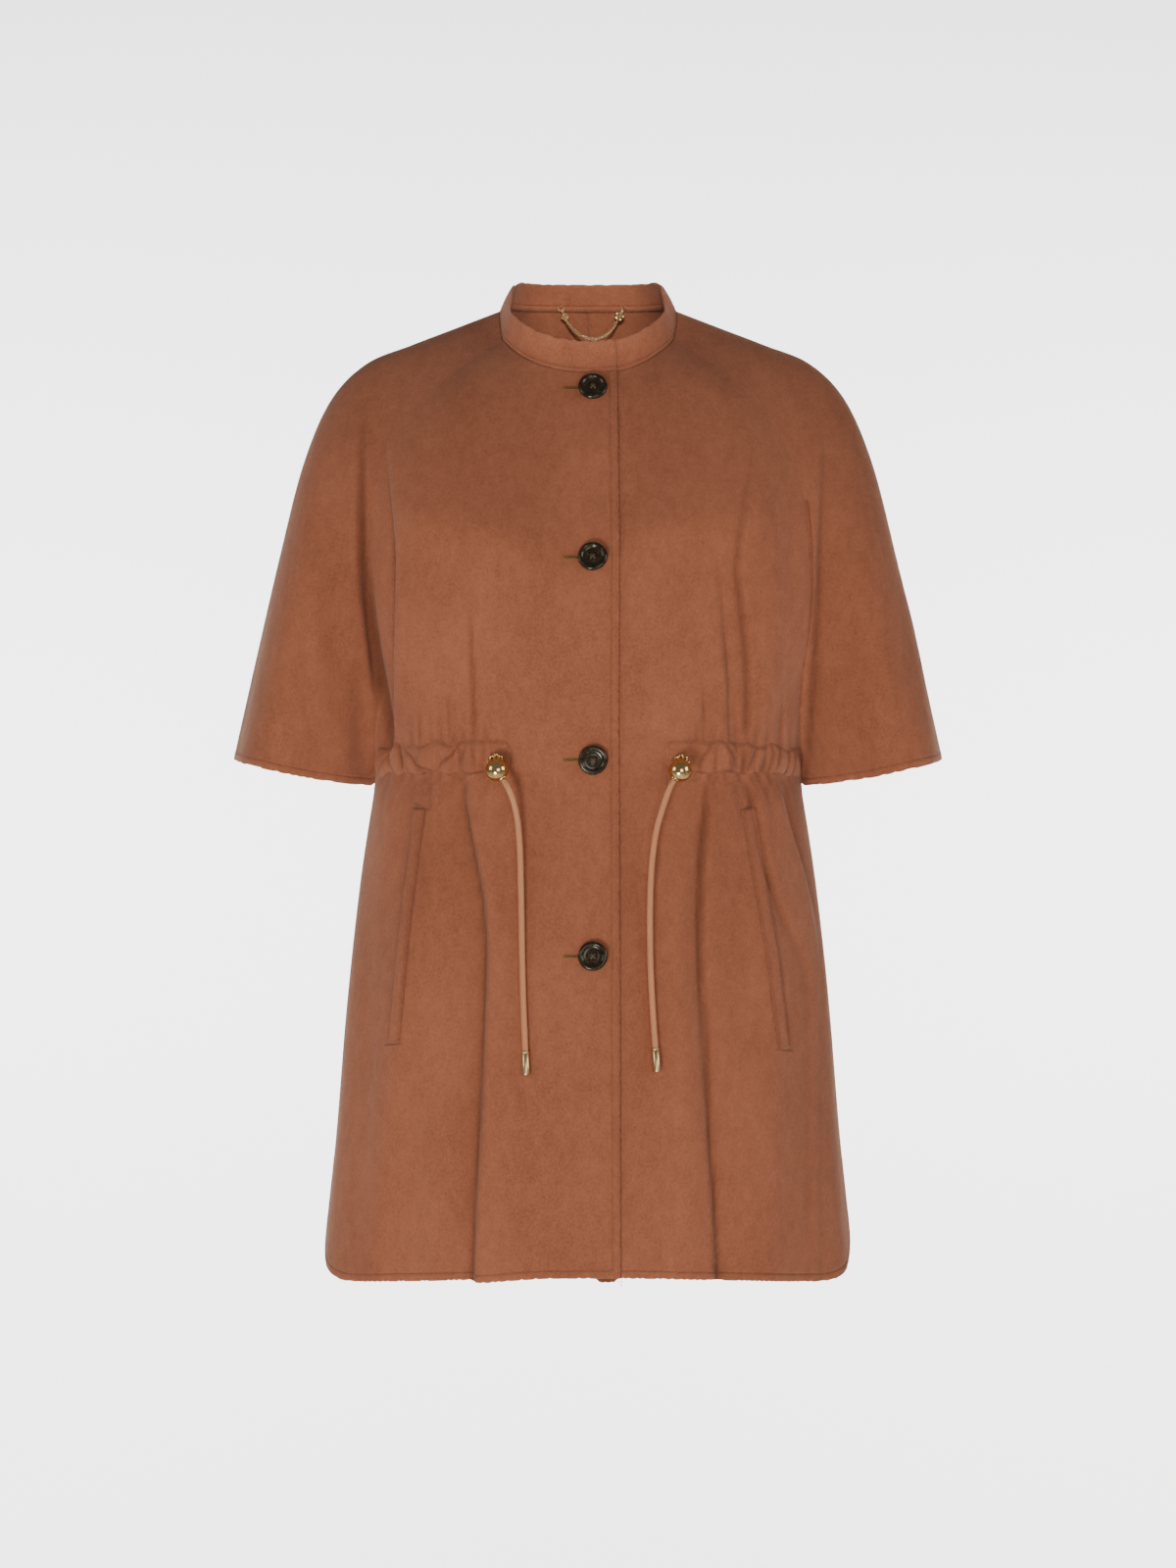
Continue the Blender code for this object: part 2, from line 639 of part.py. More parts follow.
def make_button(number, tree, height, material, collection):
    """A four-hole button with a raised round rim, seated on the upper front."""
    radius, thick = BUTTON_DIAMETER / 2, BUTTON_THICKNESS
    profile = [
        (0, thick - 1.6), (radius * 0.64, thick - 1.5), (radius * 0.74, thick - 0.3),
        (radius * 0.86, thick), (radius, thick * 0.55), (radius * 0.86, 0), (0, 0),
    ]
    mesh = turned_mesh(f"button_{number}", profile, 24)
    across = across_at(FRONT, RIGHT, BUTTON_SIDE, height)
    place, normal = seated(tree, FRONT, RIGHT, across, height)
    facing = np.array((0.0, normal[1], normal[2]))
    facing /= np.linalg.norm(facing)
    place_mesh(mesh, place + facing * (SEAT + 0.2), facing)
    button = add_object(f"button_{number}", mesh, material, collection)

    drill = bmesh.new()
    for x, y in ((1, 1), (1, -1), (-1, 1), (-1, -1)):
        bmesh.ops.create_cone(
            drill, cap_ends=True, segments=8, radius1=1.05 * MM, radius2=1.05 * MM,
            depth=4 * thick * MM, matrix=Matrix.Translation((2.3 * x * MM, 2.3 * y * MM, 0)),
        )
    holes = bpy.data.meshes.new(f"holes_{number}")
    drill.to_mesh(holes)
    drill.free()
    place_mesh(holes, place, facing)
    cutter = bpy.data.objects.new(f"holes_{number}", holes)
    cutter.hide_render = True
    cutter.display_type = "WIRE"
    bpy.data.collections["cutters"].objects.link(cutter)
    cut = button.modifiers.new("holes", "BOOLEAN")
    cut.operation = "DIFFERENCE"
    cut.object = cutter
    return button


def make_cord_fittings(side_name, side, casing_tree, materials, collection):
    """One end of the drawcord: eyelet, ball stop, hanging tail and metal tip."""
    brass, satin = materials
    x, height = EYELET_PLACES[side_name]
    across = across_at(FRONT, side, x, height)
    place, normal = seated(casing_tree, FRONT, side, across, height)
    ring = turned_mesh(
        f"eyelet_{side_name}",
        [(EYELET_WIDTH / 2 - 0.2, 0.0), (EYELET_WIDTH / 2 - 2.2, 0.0), (EYELET_WIDTH / 2 - 3.2, 0.9),
         (EYELET_WIDTH / 2 - 2.4, 1.7), (EYELET_WIDTH / 2 - 1.0, 1.8), (EYELET_WIDTH / 2, 1.0),
         (EYELET_WIDTH / 2 - 0.2, 0.0)],
        16,
    )
    place_mesh(ring, place + normal * BAND_SEAT, normal)
    add_object(f"eyelet_{side_name}", ring, brass, collection)

    stop = bpy.data.meshes.new(f"cord_stop_{side_name}")
    ball = bmesh.new()
    bmesh.ops.create_uvsphere(ball, u_segments=16, v_segments=9, radius=STOP_DIAMETER / 2 * MM)
    ball.to_mesh(stop)
    ball.free()
    centre = np.array(STOP_PLACES[side_name], float)
    place_mesh(stop, centre, (0, -1, 0))
    add_object(f"cord_stop_{side_name}", stop, brass, collection)

    route = CORD_ROUTES[side_name]
    curve = bpy.data.curves.new(f"cord_{side_name}", "CURVE")
    curve.dimensions = "3D"
    curve.bevel_depth = CORD_DIAMETER / 2 * MM
    curve.bevel_resolution = 2
    curve.use_fill_caps = True
    line = curve.splines.new("POLY")
    fine = between_rows(np.array(route, float), np.linspace(0, len(route) - 1, 24))
    line.points.add(len(fine) - 1)
    for point, co in zip(line.points, fine):
        point.co = (*(co * MM), 1)
    blank = bpy.data.objects.new(f"cord_{side_name}", curve)
    bpy.context.scene.collection.objects.link(blank)
    mesh = applied_mesh(blank)
    add_object(f"cord_{side_name}", mesh, satin, collection)

    down = fine[-1] - fine[-2]
    down /= np.linalg.norm(down)
    radius = TIP_DIAMETER / 2
    tip = turned_mesh(
        f"cord_tip_{side_name}",
        [(0, TIP_LENGTH), (radius - 0.4, TIP_LENGTH), (radius, TIP_LENGTH - 0.4), (radius, 0.4),
         (radius - 0.4, 0), (0, 0)],
        14,
    )
    place_mesh(tip, fine[-1] + down * SEAM_GAP, down)
    add_object(f"cord_tip_{side_name}", tip, brass, collection)


def make_hanger_chain(collar_tree, brass, collection):
    """The hanging chain inside the back neck, between two small fittings on the collar."""
    route = list(np.array(CHAIN_ROUTE, float))
    fitting_thickness, fitting_radius = 2.4, 3.6
    ends = []
    for name, (x, height), beside in zip(("right", "left"), CHAIN_ENDS, (route[0], route[-1])):
        place, normal, _, _ = collar_tree.ray_cast(
            Vector((x, 0, height)) * MM, Vector((0.0, 1.0, 0.0))
        )
        place, normal = np.array(place) / MM, np.array(normal)
        fitting = turned_mesh(
            f"chain_fitting_{name}",
            [(0, fitting_thickness), (2.6, fitting_thickness), (fitting_radius, 1.6),
             (fitting_radius, 0.8), (2.6, 0), (0, 0)],
            12,
        )
        place_mesh(fitting, place + normal * SEAT, normal)
        add_object(f"chain_fitting_{name}", fitting, brass, collection)
        middle = place + normal * (SEAT + fitting_thickness / 2)
        inward = (beside - middle) / np.linalg.norm(beside - middle)
        ends.append(middle + inward * (fitting_radius + SEAM_GAP))

    route = np.array([ends[0], *route, ends[1]])
    curve = bpy.data.curves.new("hanger_chain", "CURVE")
    curve.dimensions = "3D"
    curve.bevel_depth = CHAIN_DIAMETER / 2 * MM
    curve.bevel_resolution = 1
    curve.use_fill_caps = True
    fine = between_rows(route, np.linspace(0, len(route) - 1, 3 * (len(route) - 1) + 1))
    line = curve.splines.new("POLY")
    line.points.add(len(fine) - 1)
    for point, co in zip(line.points, fine):
        point.co = (*(co * MM), 1)
    blank = bpy.data.objects.new("hanger_chain", curve)
    bpy.context.scene.collection.objects.link(blank)
    add_object("hanger_chain", applied_mesh(blank), brass, collection)


# ---------------------------------------------------------------- the cape


def build():
    clear_scene()
    cape = bpy.data.collections.new("wool_cape")
    cutters = bpy.data.collections.new("cutters")
    for collection in (cape, cutters):
        bpy.context.scene.collection.children.link(collection)
    wool = make_material("wool", WOOL, 0.9)
    horn = make_material("horn", HORN, 0.35)
    gold = make_material("gold", GOLD, 0.22, 1.0)
    satin = make_material("satin_cord", SATIN, 0.55)

    fronts, backs = {}, {}
    for side_name, side in (("right", RIGHT), ("left", LEFT)):
        fronts[side_name] = make_panel(f"front_{side_name}", FRONT, side, wool, cape)
        backs[side_name] = make_panel(f"back_{side_name}", BACK, side, wool, cape)
    collar = make_collar(wool, cape)

    for side_name, side in (("right", RIGHT), ("left", LEFT)):
        front_tree, back_tree = tree_of(fronts[side_name]), tree_of(backs[side_name])
        casing = make_casing(f"casing_front_{side_name}", front_tree, FRONT, side,
                             (CASING_START, CASING_END), wool, cape)
        make_casing(f"casing_back_{side_name}", back_tree, BACK, side,
                    (BACK_CASING_START, CASING_END), wool, cape)
        make_welt(f"pocket_welt_{side_name}", front_tree, side, WELT_ENDS[side_name], wool, cape)
        make_cord_fittings(side_name, side, tree_of(casing), (gold, satin), cape)
    upper_front = tree_of(fronts["right"])
    for number, height in enumerate(BUTTON_HEIGHTS, 1):
        make_button(number, upper_front, height, horn, cape)
    make_hanger_chain(tree_of(collar), gold, cape)


build()
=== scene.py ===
# %% [markdown]
# # A short wool cape-jacket, worn
#
# The real jacket is cut from double-faced wool: two thin layers woven as one, felted and brushed
# until the weave is hidden under a short nap. It hangs open below like a cape, closes with four
# horn buttons, and is drawn in at the waist by a satin cord with ball stops. This lesson builds it
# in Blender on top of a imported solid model, which gives every piece its place.
#
# Everything is in one frame: +X is the wearer's left, the fronts face -Y, +Z is up, and the origin
# is the middle of the neck. Tables are in millimetres and become metres where a mesh is made.

# %% Load the solid model
import math

import bmesh
import bpy
import numpy as np
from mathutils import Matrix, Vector
from mathutils.bvhtree import BVHTree


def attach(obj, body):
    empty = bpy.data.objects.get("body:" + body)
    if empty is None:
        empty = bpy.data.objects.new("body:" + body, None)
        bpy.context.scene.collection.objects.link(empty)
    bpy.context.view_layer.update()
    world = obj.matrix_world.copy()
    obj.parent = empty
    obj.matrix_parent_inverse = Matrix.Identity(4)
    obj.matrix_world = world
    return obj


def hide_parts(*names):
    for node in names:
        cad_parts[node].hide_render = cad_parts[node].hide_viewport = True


MM = 0.001
RIGHT, LEFT = -1, 1  # the wearer's sides
FRONT, BACK = -1, 1
SIDE_NAMES = {RIGHT: "right", LEFT: "left"}
FACE_NAMES = {FRONT: "front", BACK: "back"}

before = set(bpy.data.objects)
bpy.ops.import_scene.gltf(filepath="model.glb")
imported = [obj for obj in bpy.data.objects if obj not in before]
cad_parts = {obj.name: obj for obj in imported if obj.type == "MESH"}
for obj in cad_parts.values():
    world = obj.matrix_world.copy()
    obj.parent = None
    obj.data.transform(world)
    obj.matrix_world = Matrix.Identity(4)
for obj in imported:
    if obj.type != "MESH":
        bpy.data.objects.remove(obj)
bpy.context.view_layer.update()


# %% [markdown]
# ## Camera, floor and light
#
# A garment for sale is shown from straight in front with a long lens, so that the sleeves do not
# swell. The camera stands 3 m away, level with the waist. The main light is large, soft and low:
# cloth that looks up, above the bust, stays a little darker than cloth that looks down. Weaker
# lamps fill the front and the sides, two more light the pale backdrop alone, and a narrow spot
# reaches the inside of the back neck, which the collar would shade.

# %% Camera
CAMERA_AWAY, CAMERA_HEIGHT = 3.0, -0.402  # metres from the middle of the neck
camera_data = bpy.data.cameras.new("camera")
camera_data.lens = 81.0
camera_data.sensor_width = 36.0
camera = bpy.data.objects.new("camera", camera_data)
camera.location = (0.0, -CAMERA_AWAY, CAMERA_HEIGHT)
camera.rotation_euler = (math.radians(90), 0.0, 0.0)
bpy.context.scene.collection.objects.link(camera)
bpy.context.scene.camera = camera
print("camera at", tuple(camera.location))


# %% A mesh from arrays
def make_mesh(name, points, faces, uv=None, attributes=None):
    """A mesh from an (n, 3) array of points in millimetres and an (m, 4) or (m, 3) array of point
    numbers. uv has a row for each point, and attributes are named floats on the points."""
    faces = np.asarray(faces, dtype=np.int32)
    corners = faces.shape[1]
    mesh = bpy.data.meshes.new(name)
    mesh.vertices.add(len(points))
    mesh.vertices.foreach_set("co", (np.asarray(points, dtype=np.float32) * MM).ravel())
    mesh.loops.add(faces.size)
    mesh.loops.foreach_set("vertex_index", faces.ravel())
    mesh.polygons.add(len(faces))
    mesh.polygons.foreach_set("loop_start", np.arange(0, faces.size, corners, dtype=np.int32))
    mesh.update(calc_edges=True)
    if uv is not None:
        layer = mesh.uv_layers.new(name="UVMap")
        layer.data.foreach_set("uv", np.asarray(uv, dtype=np.float32)[faces.ravel()].ravel())
    for key, values in (attributes or {}).items():
        held = mesh.attributes.new(key, "FLOAT", "POINT")
        held.data.foreach_set("value", np.asarray(values, dtype=np.float32))
    mesh.validate()
    mesh.shade_smooth()
    return mesh


def add_piece(name, mesh, material, slot, *nodes):
    """Put a finished mesh in the scene: it rides on the jacket and stands for its solids."""
    mesh.materials.append(material)
    piece = bpy.data.objects.new(name, mesh)
    bpy.context.scene.collection.objects.link(piece)
    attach(piece, "root")
    if nodes:
        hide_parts(*nodes)
    print(f"{name}: {len(mesh.vertices)} points, {len(mesh.polygons)} faces")
    return piece


# %% Floor with a rounded rise behind it
FLOOR_HEIGHT, WALL_HEIGHT = -2.5, 6.0  # metres
SWEEP_RADIUS = 1.6
SWEEP_DEPTH = 2.2  # where the floor starts to rise, behind the jacket


def sweep_surface(width, front):
    """A flat floor from the front to SWEEP_DEPTH, then a quarter circle, then a wall."""
    turn = np.linspace(0, math.pi / 2, 25)
    depth = np.concatenate([[front, 0.0], SWEEP_DEPTH + SWEEP_RADIUS * np.sin(turn),
                            [SWEEP_DEPTH + SWEEP_RADIUS]])
    height = np.concatenate([[0.0, 0.0], SWEEP_RADIUS * (1 - np.cos(turn)), [WALL_HEIGHT]])
    x = np.linspace(-width / 2, width / 2, 3)
    points = np.stack([np.tile(x, len(depth)), np.repeat(depth, len(x)),
                       np.repeat(height + FLOOR_HEIGHT, len(x))], axis=1)
    a = (np.arange(len(depth) - 1)[:, None] * 3 + np.arange(2)[None]).ravel()
    return points / MM, np.stack([a, a + 1, a + 4, a + 3], axis=1)


floor = bpy.data.objects.new("floor", make_mesh("floor", *sweep_surface(width=16.0, front=-7.0)))
bpy.context.scene.collection.objects.link(floor)
floor_finish = bpy.data.materials.new("floor_paint")
floor_finish.use_nodes = True
floor_shader = floor_finish.node_tree.nodes["Principled BSDF"]
floor_shader.inputs["Base Color"].default_value = (0.90, 0.90, 0.90, 1)
floor_shader.inputs["Roughness"].default_value = 0.9
floor.data.materials.append(floor_finish)
print("floor:", len(floor.data.polygons), "faces")


# %% Soft lights
CHEST, BACK_NECK = (0.0, 0.0, -0.4), (0.0, 0.05, 0.006)
LAMPS = (
    # name, place, target, size in metres, power in watts
    ("key_low", (-0.95, -2.85, -2.15), CHEST, 1.0, 81),
    ("front", (0.8, -3.2, -0.35), CHEST, 1.4, 23),
    ("side_left", (-2.3, -1.1, 0.25), CHEST, 1.2, 14),
    ("side_right", (2.3, -1.1, 0.25), CHEST, 1.2, 20),
    ("backdrop_left", (-1.9, 1.3, -0.3), (-0.3, 4.0, -0.5), 1.4, 250),
    ("backdrop_right", (1.9, 1.3, -0.3), (0.3, 4.0, -0.5), 1.4, 250),
    ("neck", (0.0, -1.5, 0.24), BACK_NECK, 0.1, 96),
)
NECK_CONE = 5.5  # degrees, about as wide as the neck opening


def soft_light(name, place, target, size, power):
    """A square area light at a place, turned to a target."""
    lamp = bpy.data.lights.new(name, "AREA")
    lamp.shape = "SQUARE"
    lamp.size = size
    lamp.energy = power
    made = bpy.data.objects.new(name, lamp)
    made.location = place
    made.rotation_euler = (Vector(target) - Vector(place)).to_track_quat("-Z", "Y").to_euler()
    bpy.context.scene.collection.objects.link(made)
    return made


lamps = {row[0]: soft_light(*row) for row in LAMPS}
neck_lamp = lamps["neck"]
neck_lamp.data.type = "SPOT"
neck_lamp.data.spot_size = math.radians(NECK_CONE)
neck_lamp.data.spot_blend = 0.45
neck_lamp.data.shadow_soft_size = 0.03

world = bpy.data.worlds.new("studio")
world.use_nodes = True
world.node_tree.nodes["Background"].inputs["Color"].default_value = (0.97, 0.97, 1.0, 1)
world.node_tree.nodes["Background"].inputs["Strength"].default_value = 0.20
bpy.context.scene.world = world
print("lights:", list(lamps))


# %% [markdown]
# ## Node groups
#
# Wool nap is the main finish. Brushed wool is not flat: short fibres lie mostly downward, the felt
# gathers in clumps of a few millimetres, and the whole cloth carries faint cloudy tones. One group
# gives both a tone and a height from noise at these three scales, read in Object coordinates so
# that it runs on from panel to panel. A second group presses a groove along a row of stitches from
# a distance that each panel keeps on its points.

# %% Small helpers for node trees
def new_node(tree, kind, inputs=None, **settings):
    """A node of a kind with its settings. Each input, by name or number, is linked to the socket or
    set to the number or colour that is given for it."""
    node = tree.nodes.new(kind)
    for key, value in settings.items():
        setattr(node, key, value)
    for key, value in (inputs or {}).items():
        if isinstance(value, bpy.types.NodeSocket):
            tree.links.new(value, node.inputs[key])
        else:
            node.inputs[key].default_value = value
    return node


def new_group(name, inputs, outputs):
    """An empty shader group with inputs {name: default} and outputs {name: socket type}."""
    group = bpy.data.node_groups.new(name, "ShaderNodeTree")
    for key, value in inputs.items():
        kind = "NodeSocketColor" if hasattr(value, "__len__") else "NodeSocketFloat"
        socket = group.interface.new_socket(key, in_out="INPUT", socket_type=kind)
        socket.default_value = value
    for key, kind in outputs.items():
        group.interface.new_socket(key, in_out="OUTPUT", socket_type=kind)
    return group, group.nodes.new("NodeGroupInput"), group.nodes.new("NodeGroupOutput")


def object_place(tree):
    """A point's own coordinates in metres, the same from every view."""
    return new_node(tree, "ShaderNodeTexCoord").outputs["Object"]


def math_node(tree, operation, *values):
    """A Math node on one to three numbers or sockets."""
    node = new_node(tree, "ShaderNodeMath", dict(enumerate(values)), operation=operation)
    return node.outputs[0]


def noise(tree, vector, scale, detail=2.0, rough=0.5):
    """A Noise texture's value at a scale in cells for each metre."""
    inputs = {"Vector": vector, "Scale": scale, "Detail": detail, "Roughness": rough}
    return new_node(tree, "ShaderNodeTexNoise", inputs).outputs["Fac"]


def stretched(tree, vector, scale):
    """The vector with each axis scaled."""
    return new_node(tree, "ShaderNodeMapping", {"Vector": vector, "Scale": scale}).outputs["Vector"]


def mixed(tree, factor, a, b):
    """A colour mixed between two colours or sockets."""
    node = new_node(tree, "ShaderNodeMix", {0: factor, 6: a, 7: b}, data_type="RGBA")
    return node.outputs[2]


def bump(tree, height, strength, distance, under=None):
    """A Bump node's normal, laid over another normal where one is given."""
    inputs = {"Height": height, "Strength": strength, "Distance": distance}
    if under is not None:
        inputs["Normal"] = under
    return new_node(tree, "ShaderNodeBump", inputs).outputs["Normal"]


# %% The nap group
def build_nap_group():
    """Tone = dark to light over the weighted sum of fibre, clump, felt and cloud noise. Height =
    0.55 fibre + 0.45 clump."""
    group, entry, leave = new_group(
        "wool_nap",
        {"Dark": (0.2, 0.07, 0.04, 1), "Light": (0.3, 0.1, 0.06, 1), "Cloud": 0.35},
        {"Color": "NodeSocketColor", "Height": "NodeSocketFloat"},
    )
    place = object_place(group)
    fibre = noise(group, stretched(group, place, (1.0, 1.0, 0.32)), 1500, 3, 0.6)
    clump = noise(group, place, 420, 3, 0.6)
    felt = noise(group, stretched(group, place, (1.0, 1.0, 0.6)), 130, 3, 0.55)
    cloud = noise(group, stretched(group, place, (1.0, 1.0, 0.5)), 16, 2, 0.5)
    total = math_node(group, "MULTIPLY", fibre, 0.42)
    total = math_node(group, "MULTIPLY_ADD", clump, 0.42, total)
    total = math_node(group, "MULTIPLY_ADD", felt, 0.30, total)
    drift = math_node(group, "SUBTRACT", cloud, 0.5)
    drift = math_node(group, "MULTIPLY", drift, entry.outputs["Cloud"])
    total = math_node(group, "ADD", total, drift)
    spread = new_node(group, "ShaderNodeMapRange", {
        "Value": total, "From Min": 0.36, "From Max": 0.78}).outputs["Result"]
    tone = mixed(group, spread, entry.outputs["Dark"], entry.outputs["Light"])
    height = math_node(group, "MULTIPLY", fibre, 0.55)
    height = math_node(group, "MULTIPLY_ADD", clump, 0.45, height)
    group.links.new(tone, leave.inputs["Color"])
    group.links.new(height, leave.inputs["Height"])
    return group


nap_group = build_nap_group()
print("group:", nap_group.name)


# %% The stitch groove group
def build_groove_group():
    """Mask = exp(-((distance - middle) / width)^2), from a distance kept on the points; the wool
    is darkened by it as painted shade in the groove. Height = -depth * mask."""
    group, entry, leave = new_group(
        "stitch_groove",
        {"Distance": 100.0, "Middle": 6.2, "Width": 0.9, "Depth": 0.5},
        {"Height": "NodeSocketFloat", "Mask": "NodeSocketFloat"},
    )
    away = math_node(group, "SUBTRACT", entry.outputs["Distance"], entry.outputs["Middle"])
    away = math_node(group, "DIVIDE", away, entry.outputs["Width"])
    square = math_node(group, "MULTIPLY", away, away)
    mask = math_node(group, "EXPONENT", math_node(group, "MULTIPLY", square, -1.0))
    deep = math_node(group, "MULTIPLY", mask, entry.outputs["Depth"])
    group.links.new(math_node(group, "MULTIPLY", deep, -1.0), leave.inputs["Height"])
    group.links.new(mask, leave.inputs["Mask"])
    return group


groove_group = build_groove_group()
print("group:", groove_group.name)


# %% [markdown]
# ## Materials
#
# A Principled shader carries each finish. Wool scatters light back at grazing angles, which the
# sheen lobe gives. The stops and eyelets are polished gold plating with faint marks, and the tips
# and the chain a softer one, because on such small pieces a mirror finish would only sparkle. The
# buttons look like horn: near black with olive clouds under a polish. The cord is satin.

# %% Wool
WOOL_DARK = (0.205, 0.064, 0.030, 1)
WOOL_LIGHT = (0.352, 0.117, 0.058, 1)
STITCH_INSET = 6.2  # topstitching runs this far from an edge, in millimetres


def new_material(name, inputs):
    """A material with values set on its Principled shader. Returns it, its tree and the shader."""
    material = bpy.data.materials.new(name)
    material.use_nodes = True
    shader = material.node_tree.nodes["Principled BSDF"]
    for key, value in inputs.items():
        shader.inputs[key].default_value = value
    return material, material.node_tree, shader


def deeper(colour, share):
    """A share of a colour's light, with its alpha kept."""
    return tuple(share * part for part in colour[:3]) + (1,)


def wool_material(name, dark, light):
    """Wool with its nap, a groove along the stitching wherever the points keep edge_mm with painted
    shade in it, and painted shade wherever they keep crease."""
    material, tree, shader = new_material(name, {
        "Roughness": 0.92, "Specular IOR Level": 0.12, "Sheen Weight": 0.22,
        "Sheen Roughness": 0.55, "Sheen Tint": (1.0, 0.72, 0.55, 1)})
    nap = new_node(tree, "ShaderNodeGroup", {"Dark": dark, "Light": light}, node_tree=nap_group)
    edge = new_node(tree, "ShaderNodeAttribute", attribute_name="edge_mm").outputs["Fac"]
    groove = new_node(tree, "ShaderNodeGroup", {"Distance": edge, "Middle": STITCH_INSET},
                      node_tree=groove_group)
    # painted shade in the stitching's groove
    shade = math_node(tree, "MULTIPLY", groove.outputs["Mask"], 0.2)
    tone = mixed(tree, shade, nap.outputs["Color"], deeper(dark, 0.55))
    # painted shade in folds, gathers, seams and the lap's hem corner, from the crease attribute
    crease = new_node(tree, "ShaderNodeAttribute", attribute_name="crease").outputs["Fac"]
    shade = math_node(tree, "MULTIPLY", crease, 0.62)
    tone = mixed(tree, shade, tone, deeper(dark, 0.34))
    fibres = bump(tree, nap.outputs["Height"], 0.55, 0.0007)
    grooves = bump(tree, groove.outputs["Height"], 1.0, 0.001, fibres)
    tree.links.new(tone, shader.inputs["Base Color"])
    tree.links.new(grooves, shader.inputs["Normal"])
    return material


wool = wool_material("wool", WOOL_DARK, WOOL_LIGHT)
print("finish:", wool.name)


# %% Metal, horn, satin and threads
def gold_material(name, smoothest, dark, light):
    """Gold plating: colour and roughness drift a little, with fine polishing marks."""
    material, tree, shader = new_material(name, {
        "Base Color": light, "Roughness": smoothest, "Metallic": 1.0})
    place = object_place(tree)
    tone = mixed(tree, noise(tree, place, 120), dark, light)
    marks = noise(tree, stretched(tree, place, (1, 1, 8)), 700)
    rough = math_node(tree, "MULTIPLY_ADD", marks, 0.08, smoothest)
    tree.links.new(tone, shader.inputs["Base Color"])
    tree.links.new(rough, shader.inputs["Roughness"])
    return material


def horn_material():
    """Horn look: olive and brown clouds in near black, under a clear polish."""
    material, tree, shader = new_material("horn", {
        "Base Color": (0.03, 0.02, 0.01, 1), "Roughness": 0.17, "Specular IOR Level": 0.42,
        "Specular Tint": (1.0, 0.93, 0.80, 1)})
    cloud = noise(tree, stretched(tree, object_place(tree), (1, 1, 2.2)), 190, 4, 0.62)
    ramp = new_node(tree, "ShaderNodeValToRGB", {"Fac": cloud})
    stops = ramp.color_ramp.elements
    stops[0].position, stops[0].color = 0.34, (0.009, 0.006, 0.003, 1)
    stops[1].position, stops[1].color = 0.74, (0.056, 0.037, 0.015, 1)
    stops.new(0.55).color = (0.021, 0.014, 0.006, 1)
    tree.links.new(ramp.outputs["Color"], shader.inputs["Base Color"])
    return material


def satin_material():
    """Satin cord: filaments follow the cord's own UV, so that they turn with the twist."""
    material, tree, shader = new_material("satin_cord", {
        "Base Color": (0.55, 0.26, 0.16, 1), "Roughness": 0.25, "Specular IOR Level": 0.8,
        "Specular Tint": (1.0, 0.70, 0.50, 1)})
    uv = new_node(tree, "ShaderNodeTexCoord").outputs["UV"]
    filament = noise(tree, stretched(tree, uv, (60, 900, 1)), 1.0)
    tone = mixed(tree, filament, (0.33, 0.115, 0.047, 1), (0.62, 0.262, 0.125, 1))
    tree.links.new(tone, shader.inputs["Base Color"])
    tree.links.new(bump(tree, filament, 0.35, 0.0002), shader.inputs["Normal"])
    return material


def thread_material(name, dark, light):
    """Sewing thread: fine streaks between two tones."""
    material, tree, shader = new_material(name, {"Base Color": light, "Roughness": 0.6})
    streaks = noise(tree, object_place(tree), 2500)
    tree.links.new(mixed(tree, streaks, dark, light), shader.inputs["Base Color"])
    return material


gold = gold_material("gold_plating", 0.06, (0.56, 0.345, 0.115, 1), (0.82, 0.57, 0.255, 1))
soft_gold = gold_material("gold_small_parts", 0.24, (0.62, 0.42, 0.19, 1), (0.74, 0.54, 0.29, 1))
horn, satin = horn_material(), satin_material()
tone_thread = thread_material("wool_thread", (0.12, 0.038, 0.018, 1), (0.23, 0.078, 0.038, 1))
amber_thread = thread_material("amber_thread", (0.15, 0.058, 0.008, 1), (0.30, 0.125, 0.020, 1))
brown_thread = thread_material("brown_thread", (0.05, 0.028, 0.012, 1), (0.12, 0.07, 0.034, 1))
print("materials:", len(bpy.data.materials))


# %% [markdown]
# ## The drawcord
#
# Two tails of round satin cord come out of the ball stops at the waist and hang on the skirt. A
# tail is heavy enough to leave the stop sideways, turn down within a few diameters and then follow
# the cloth. Each is a tube along a smooth curve through listed points, with the fine twist of
# the filaments raised on its surface.

# %% Curves through points
def between_rows(table, row):
    """Read a table at fractional rows, on Catmull-Rom curves: the cubic that passes through each
    row with the slope of the rows beside it."""
    last = len(table) - 1
    row = np.clip(row, 0, last)
    low = np.minimum(np.floor(row).astype(int), last - 1)
    t = (row - low)[..., None]
    before = table[np.maximum(low - 1, 0)]
    start, end = table[low], table[low + 1]
    after = table[np.minimum(low + 2, last)]
    slope_in = np.where((low > 0)[..., None], (end - before) / 2, end - start)
    slope_out = np.where((low + 2 <= last)[..., None], (after - start) / 2, end - start)
    return (
        (2 * t**3 - 3 * t**2 + 1) * start
        + (t**3 - 2 * t**2 + t) * slope_in
        + (3 * t**2 - 2 * t**3) * end
        + (t**3 - t**2) * slope_out
    )


def unit(vectors):
    """The vectors divided by their lengths."""
    return vectors / (np.linalg.norm(vectors, axis=-1, keepdims=True) + 1e-9)


def distances(line):
    """How far along a polyline each of its points lies."""
    return np.concatenate([[0], np.cumsum(np.linalg.norm(np.diff(line, axis=0), axis=1))])


def read_along(at, run, rows):
    """Rows read in straight steps at distances between those where they are known."""
    return np.stack([np.interp(at, run, column) for column in rows.T], axis=1)


def even_path(points, spacing):
    """The curve through the points, and the distances along it, with even steps."""
    points = np.asarray(points, float)
    fine = between_rows(points, np.linspace(0, len(points) - 1, 40 * len(points)))
    run = distances(fine)
    at = np.linspace(0, run[-1], max(3, int(round(run[-1] / spacing)) + 1))
    return read_along(at, run, fine), at


